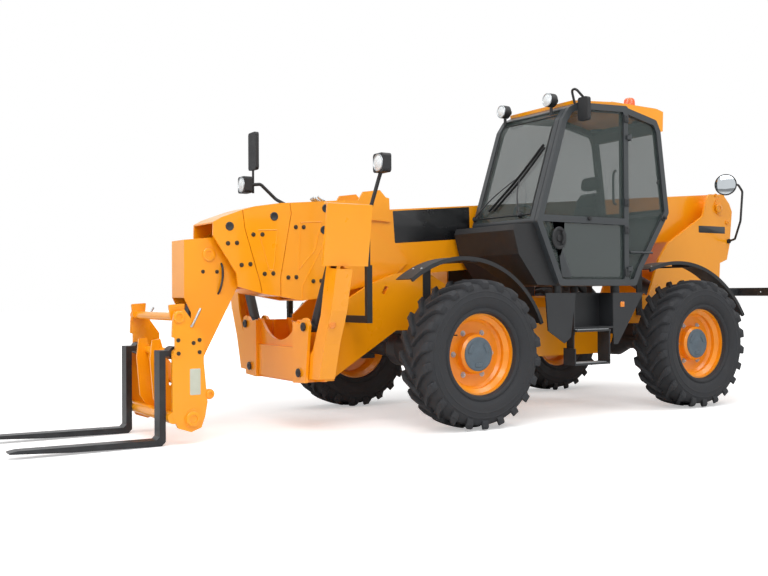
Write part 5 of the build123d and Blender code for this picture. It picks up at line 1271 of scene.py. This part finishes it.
@dataclass
class Fasteners:
    """Bolts, reflectors, pins and plates on the frame, steps, mudguards and stabilisers; sizes in metres."""

    bolt: float = 0.011
    sink: float = 0.0004
    mudguard_reach: float = 1.3
    tread_pitch: float = 0.026
    step_outer: float = 1.155

    def bolts(self, node: str, spots: Rows, side: float) -> list[Patch]:
        """Hexagon bolts at places of x, z on one side of a node."""
        return [part for x, z in spots for part in hex_bolt(beside(node, x, z, side), side * LEFT, self.bolt)]

    @staticmethod
    def boss(node: str, x: float, z: float, radius: float, tall: float, side: float, bore: float = 0.0) -> Patch:
        """A turned boss on a node's side: a disc with a chamfer and a sunk middle.

        Args:
            node: the node it stands on.
            x: where it stands.
            z: its height on the machine.
            radius: its radius.
            tall: how far it stands out.
            side: the sign of y.
            bore: least radius of the sunk middle.

        Returns:
            A closed patch.
        """
        rows = [(0.0, -0.003), (radius, -0.003), (radius, tall * 0.8), (radius - 0.004, tall),
                (max(bore, radius * 0.55), tall), (max(bore, radius * 0.5), tall * 0.45), (0.0, tall * 0.45)]
        return lathe(rows, beside(node, x, z, side), side * LEFT, 36)

    def build(self) -> None:
        """Make the pieces of each sub-assembly in turn."""
        for make in (self.mudguards, self.carriage, self.nose, self.stabilisers, self.frame_details):
            make()

    def mudguards(self) -> None:
        """Round-headed bolts where spokes from outside meet the mudguards, two abreast."""
        for name, side in SIDES:
            heads = []
            for end, third in (("front", -0.1), ("rear", -0.08)):
                centre = pin(f"wheel_{end}_left")
                for angle in (-0.85, -0.7, third, 0.05, 0.62):
                    inwards = -np.array((math.sin(angle), 0.0, math.cos(angle)))
                    for drop in (-0.12, 0.0):
                        spot = centre - inwards * self.mudguard_reach + LEFT * drop
                        place, normal = land("fenders", spot * (1.0, side, 1.0), inwards)
                        heads += dome_bolt(place, normal if normal @ inwards < 0 else -normal, self.bolt)
            add_piece(f"mudguard_bolts_{name}", heads, ZINC)

    def carriage(self) -> None:
        """Pins, bolts, blank plates and locking levers on both cheeks of the fork carriage."""
        steel, heads, blanks, paint = [], [], [], []
        for _, side in SIDES:
            out = side * LEFT
            paint += [self.boss("carriage", x, z, radius, 0.014, side)
                      for x, z, radius in ((2.794, 0.976, 0.045), (2.687, 0.198, 0.058), (2.548, 0.378, 0.03))]
            heads += self.bolts("carriage", ((2.679, 0.776), (2.631, 0.797), (2.631, 0.705), (2.80, 0.80),
                                             (2.80, 0.70)), side)
            spot = beside("carriage", 2.667, 0.48, side) - out * self.sink
            blanks.append(tablet((0.085, 0.20, 0.0025), 0.008, spot, -side * AHEAD, edge=0.001))
            base = beside("carriage", 2.70, 0.90, side)
            lever = bend([base + out * 0.006, base + out * 0.022 + (-0.02, 0.0, 0.04),
                          base + out * 0.024 + (-0.06, 0.0, 0.12), base + out * 0.018 + (-0.07, 0.0, 0.136)])
            steel.append(tube(lever, 0.009, 10))
        add_piece("carriage_bosses", paint, BODY_PAINT, "carriage")
        add_piece("carriage_bolts", heads, ZINC_DARK, "carriage")
        add_piece("carriage_blank_plates", blanks, BLANK_PLATE, "carriage")
        add_piece("carriage_levers", steel, ZINC, "carriage")

    def nose(self) -> None:
        """Bosses, bolts and bent pipes on the boom's lowest section."""
        paint, heads, pipes = [], [], []
        for _, side in SIDES:
            out = side * LEFT
            paint.append(self.boss("boom_inner", 2.398, 1.469, 0.055, 0.012, side, 0.024))
            heads += self.bolts("boom_inner", ((2.33, 1.33), (2.33, 1.60), (2.45, 1.33)), side)
            foot = beside("boom_inner", 2.29, 1.279, side)
            # how far out, ahead and up each point of the pipe lies from its foot
            pipe = ((-0.004, 0.0, 0.12), (0.022, 0.0, 0.08), (0.024, 0.0, 0.0), (0.022, 0.02, -0.09),
                    (-0.004, 0.03, -0.13))
            pipes.append(tube(bend([foot + out * a + AHEAD * b + UP * c for a, b, c in pipe]), 0.009, 10))
        add_piece("nose_bosses", paint, BODY_PAINT, "boom_inner")
        add_piece("nose_bolts", heads, ZINC_DARK, "boom_inner")
        add_piece("nose_pipes", pipes, BLACK_STEEL, "boom_inner")

    def stabilisers(self) -> None:
        """Round reflectors on the folding legs and pin keepers on their cradle."""
        reflector = [(0.0, -0.002), (0.030, -0.002), (0.030, 0.006), (0.026, 0.009), (0.0, 0.010)]
        keeper = [(0.0, -0.002), (0.036, -0.002), (0.036, 0.008), (0.030, 0.012), (0.016, 0.012), (0.014, 0.007),
                  (0.0, 0.007)]
        for name, side in SIDES:
            leg = f"leg_{name}"
            add_piece(f"leg_reflector_{name}", [lathe(reflector, beside(leg, 1.69, 0.90, side), side * LEFT, 32)],
                      LENS_AMBER, leg)
            heads = [lathe(keeper, land("front_cradle", (3.2, side * y, z), -AHEAD)[0], AHEAD, 28)
                     for y, z in ((0.57, 0.878), (0.48, 0.50))]
            add_piece(f"cradle_pins_{name}", heads, BLACK_STEEL)

    def frame_details(self) -> None:
        """Plain stripe on the tail, pin caps, step treads and the steps' reflector."""
        stripes, caps, treads = [], [], []
        for _, side in SIDES:
            spot = beside("chassis_frame", -3.543, 1.845, side) - side * self.sink * LEFT
            stripes.append(tablet((0.45, 0.078, 0.0018), 0.008, spot, -side * AHEAD, edge=0.0008))
            caps += [self.boss("chassis_frame", x, z, radius, 0.012, side)
                     for x, z, radius in ((-3.639, 2.092, 0.05), (-3.803, 1.934, 0.026), (-3.606, 2.238, 0.018),
                                          (-3.50, 0.95, 0.055))]
        add_piece("tail_stripes", stripes, PANEL_BLACK)
        add_piece("frame_pin_caps", caps, BODY_PAINT)
        for back, front, inner, z in ((-1.09, -0.70, 1.015, 0.806), (-1.07, -0.67, 1.03, 0.505)):
            bar, middle = (front - back, 0.012, 0.006), (back + front) / 2.0
            treads += [tablet(bar, 0.003, (middle, y, z), AHEAD, LEFT, 0.003)
                       for y in np.arange(inner, self.step_outer, self.tread_pitch)]
        add_piece("step_treads", treads, TREAD_STEEL)
        spot = land("side_steps", (-1.30, 1.6, 1.032), -LEFT)[0]
        add_piece("step_reflector", [tablet((0.05, 0.05, 0.007), 0.008, spot - LEFT * 0.001, -AHEAD, edge=0.003)],
                  LENS_AMBER)


def dress(node: str, finish: Finish) -> None:
    """Give a carried-over CAD node its finish.

    Args:
        node: the node's name.
        finish: what it is made of.
    """
    made = frame["nodes"][node]
    made.data.materials.clear()
    made.data.materials.append(finish.build())
    LOG.info("%s: %s", node, finish.name)


# Each finish with the CAD nodes that carry it.
CARRIED: tuple[tuple[Finish, str], ...] = (
    (BODY_PAINT, "chassis_frame front_cradle boom_outer boom_second boom_third boom_inner carriage leg_left "
                 "leg_right pad_left pad_right cab_roof engine_hood"),
    (BLACK_STEEL, "rear_bar tow_hitch side_steps front_axle rear_axle lift_barrel tilt_barrel "
                  "strut_barrel_left strut_barrel_right knuckle_front_left knuckle_front_right "
                  "knuckle_rear_left knuckle_rear_right"),
    (FORK_STEEL, "fork_left fork_right"),
    (CHROME, "lift_rod tilt_rod strut_rod_left strut_rod_right"),
    (CAB_PAINT, "cab_frame door"),
    (BLACK_PLASTIC, "cab_nose fenders engine_pod steering_wheel mirrors door_mirror lamps"),
    (GREY_PLASTIC, "cab_console"),
    (IRON, "engine_block"),
    (CAB_GLASS, "cab_glass door_glass"),
    (RIM_PAINT, "rim_front_left rim_front_right rim_rear_left rim_rear_right"),
    (RUBBER, "tyre_front_left tyre_front_right tyre_rear_left tyre_rear_right"),
    (SEAT_CLOTH, "seat"),
    (BEACON, "beacon"),
)


@dataclass
class Studio:
    """Camera, floor and lights; lengths in metres unless named otherwise, angles in radians."""

    focal_mm: float = 44.2809375
    sensor_mm: float = 36.0
    place: tuple[float, float, float] = (5.3173, 7.3763, 1.1432)
    heading: float = 0.5665
    pitch: float = 0.006
    roll: float = -0.0058
    floor_reach: float = 60.0
    floor_glow: float = 0.42
    glow_from: float = 3.5
    glow_to: float = 9.0
    world_level: float = 0.36

    def camera(self) -> None:
        """Set the camera at its place, looking along its heading with a small pitch and roll."""
        data = bpy.data.cameras.new("camera")
        data.sensor_width = self.sensor_mm
        data.lens = self.focal_mm
        data.clip_start, data.clip_end = 0.05, 200.0
        rig = bpy.data.objects.new("camera", data)
        bpy.context.scene.collection.objects.link(rig)
        right = Vector((-math.cos(self.heading), math.sin(self.heading), 0.0))
        ahead = Vector((-math.sin(self.heading), -math.cos(self.heading), 0.0))
        up = Vector(UP)
        look = ahead * math.cos(self.pitch) + up * math.sin(self.pitch)
        lift = up * math.cos(self.pitch) - ahead * math.sin(self.pitch)
        side = right * math.cos(self.roll) + lift * math.sin(self.roll)
        top = lift * math.cos(self.roll) - right * math.sin(self.roll)
        turn = Matrix((side, top, -look)).transposed()
        rig.matrix_world = Matrix.Translation(self.place) @ turn.to_4x4()
        bpy.context.scene.camera = rig

    def floor(self) -> None:
        """A wide pale floor whose glow, seen by the camera alone, rises to white with the distance."""
        corners = np.column_stack((rectangle(2.0 * self.floor_reach, 2.0 * self.floor_reach), np.zeros(4)))
        mesh = bpy.data.meshes.new("floor")
        mesh.from_pydata(corners.tolist(), [], [(0, 1, 2, 3)])
        ground = bpy.data.objects.new("floor", mesh)
        bpy.context.scene.collection.objects.link(ground)
        material = bpy.data.materials.new("pale_floor")
        material.use_nodes = True
        tree = material.node_tree
        shader = tree.nodes["Principled BSDF"]
        for socket, value in (("Base Color", linear("#F4F4F4")), ("Roughness", 0.95), ("Specular IOR Level", 0.1),
                              ("Emission Color", linear("#FFFFFF"))):
            shader.inputs[socket].default_value = value
        where = add(tree, "TexCoord").outputs["Object"]
        far = add(tree, "VectorMath", links={0: where}, operation="LENGTH").outputs["Value"]
        glow = add(tree, "MapRange", {"From Min": self.glow_from, "From Max": self.glow_to,
                                      "To Min": self.floor_glow, "To Max": 1.0}, {"Value": far})
        seen = add(tree, "LightPath").outputs["Is Camera Ray"]
        level = add(tree, "Math", links={0: glow.outputs["Result"], 1: seen}, operation="MULTIPLY")
        tree.links.new(level.outputs[0], shader.inputs["Emission Strength"])
        mesh.materials.append(material)

    def lights(self) -> None:
        """Large soft lamps overhead and at both sides, and a world that lights softly but is seen white."""
        table = (
            # name, place, aimed at, size, watts
            ("key", (5.5, 7.0, 8.5), (1.0, 0.0, 1.0), 6.0, 580.0),
            ("fill", (-5.0, 7.0, 10.5), (0.0, 0.0, 1.2), 6.0, 420.0),
            ("front", (11.0, 1.5, 4.5), (2.0, 0.0, 1.0), 5.0, 220.0),
            ("top", (0.0, 0.0, 10.0), (0.0, 0.0, 0.0), 9.0, 340.0),
        )
        for name, place, aim, size, watts in table:
            data = bpy.data.lights.new(name, "AREA")
            data.size, data.energy = size, watts
            lamp = bpy.data.objects.new(name, data)
            bpy.context.scene.collection.objects.link(lamp)
            lamp.location = place
            lamp.rotation_euler = (Vector(aim) - Vector(place)).to_track_quat("-Z", "Y").to_euler()
        world = bpy.data.worlds.new("studio")
        bpy.context.scene.world = world
        world.use_nodes = True
        tree = world.node_tree
        back = tree.nodes["Background"]
        back.inputs["Color"].default_value = linear("#FFFFFF")
        paths = add(tree, "LightPath")
        seen = add(tree, "Math", operation="MAXIMUM", links={0: paths.outputs["Is Camera Ray"],
                                                             1: paths.outputs["Is Glossy Ray"]})
        both = add(tree, "Math", operation="MAXIMUM", links={0: seen.outputs[0],
                                                             1: paths.outputs["Is Transmission Ray"]})
        level = add(tree, "MapRange", {"To Min": self.world_level, "To Max": 1.0}, {"Value": both.outputs[0]})
        tree.links.new(level.outputs["Result"], back.inputs["Strength"])


def main() -> None:
    """Build the studio, dress the frame and add the pieces in order."""
    logging.basicConfig(level=logging.INFO, format="%(message)s")
    scene = bpy.context.scene
    scene.view_settings.view_transform = "Standard"
    studio = Studio()
    studio.camera()
    studio.floor()
    studio.lights()
    for finish, nodes in CARRIED:
        for node in nodes.split():
            dress(node, finish)
    wheels = [Wheel(end, side) for end in ("front", "rear") for side, _ in SIDES]
    for assembly in (*wheels, Seat(), Cab(), Beacon(), Boom(), Lights(), Fasteners()):
        assembly.build()


if __name__ == "__main__":
    main()
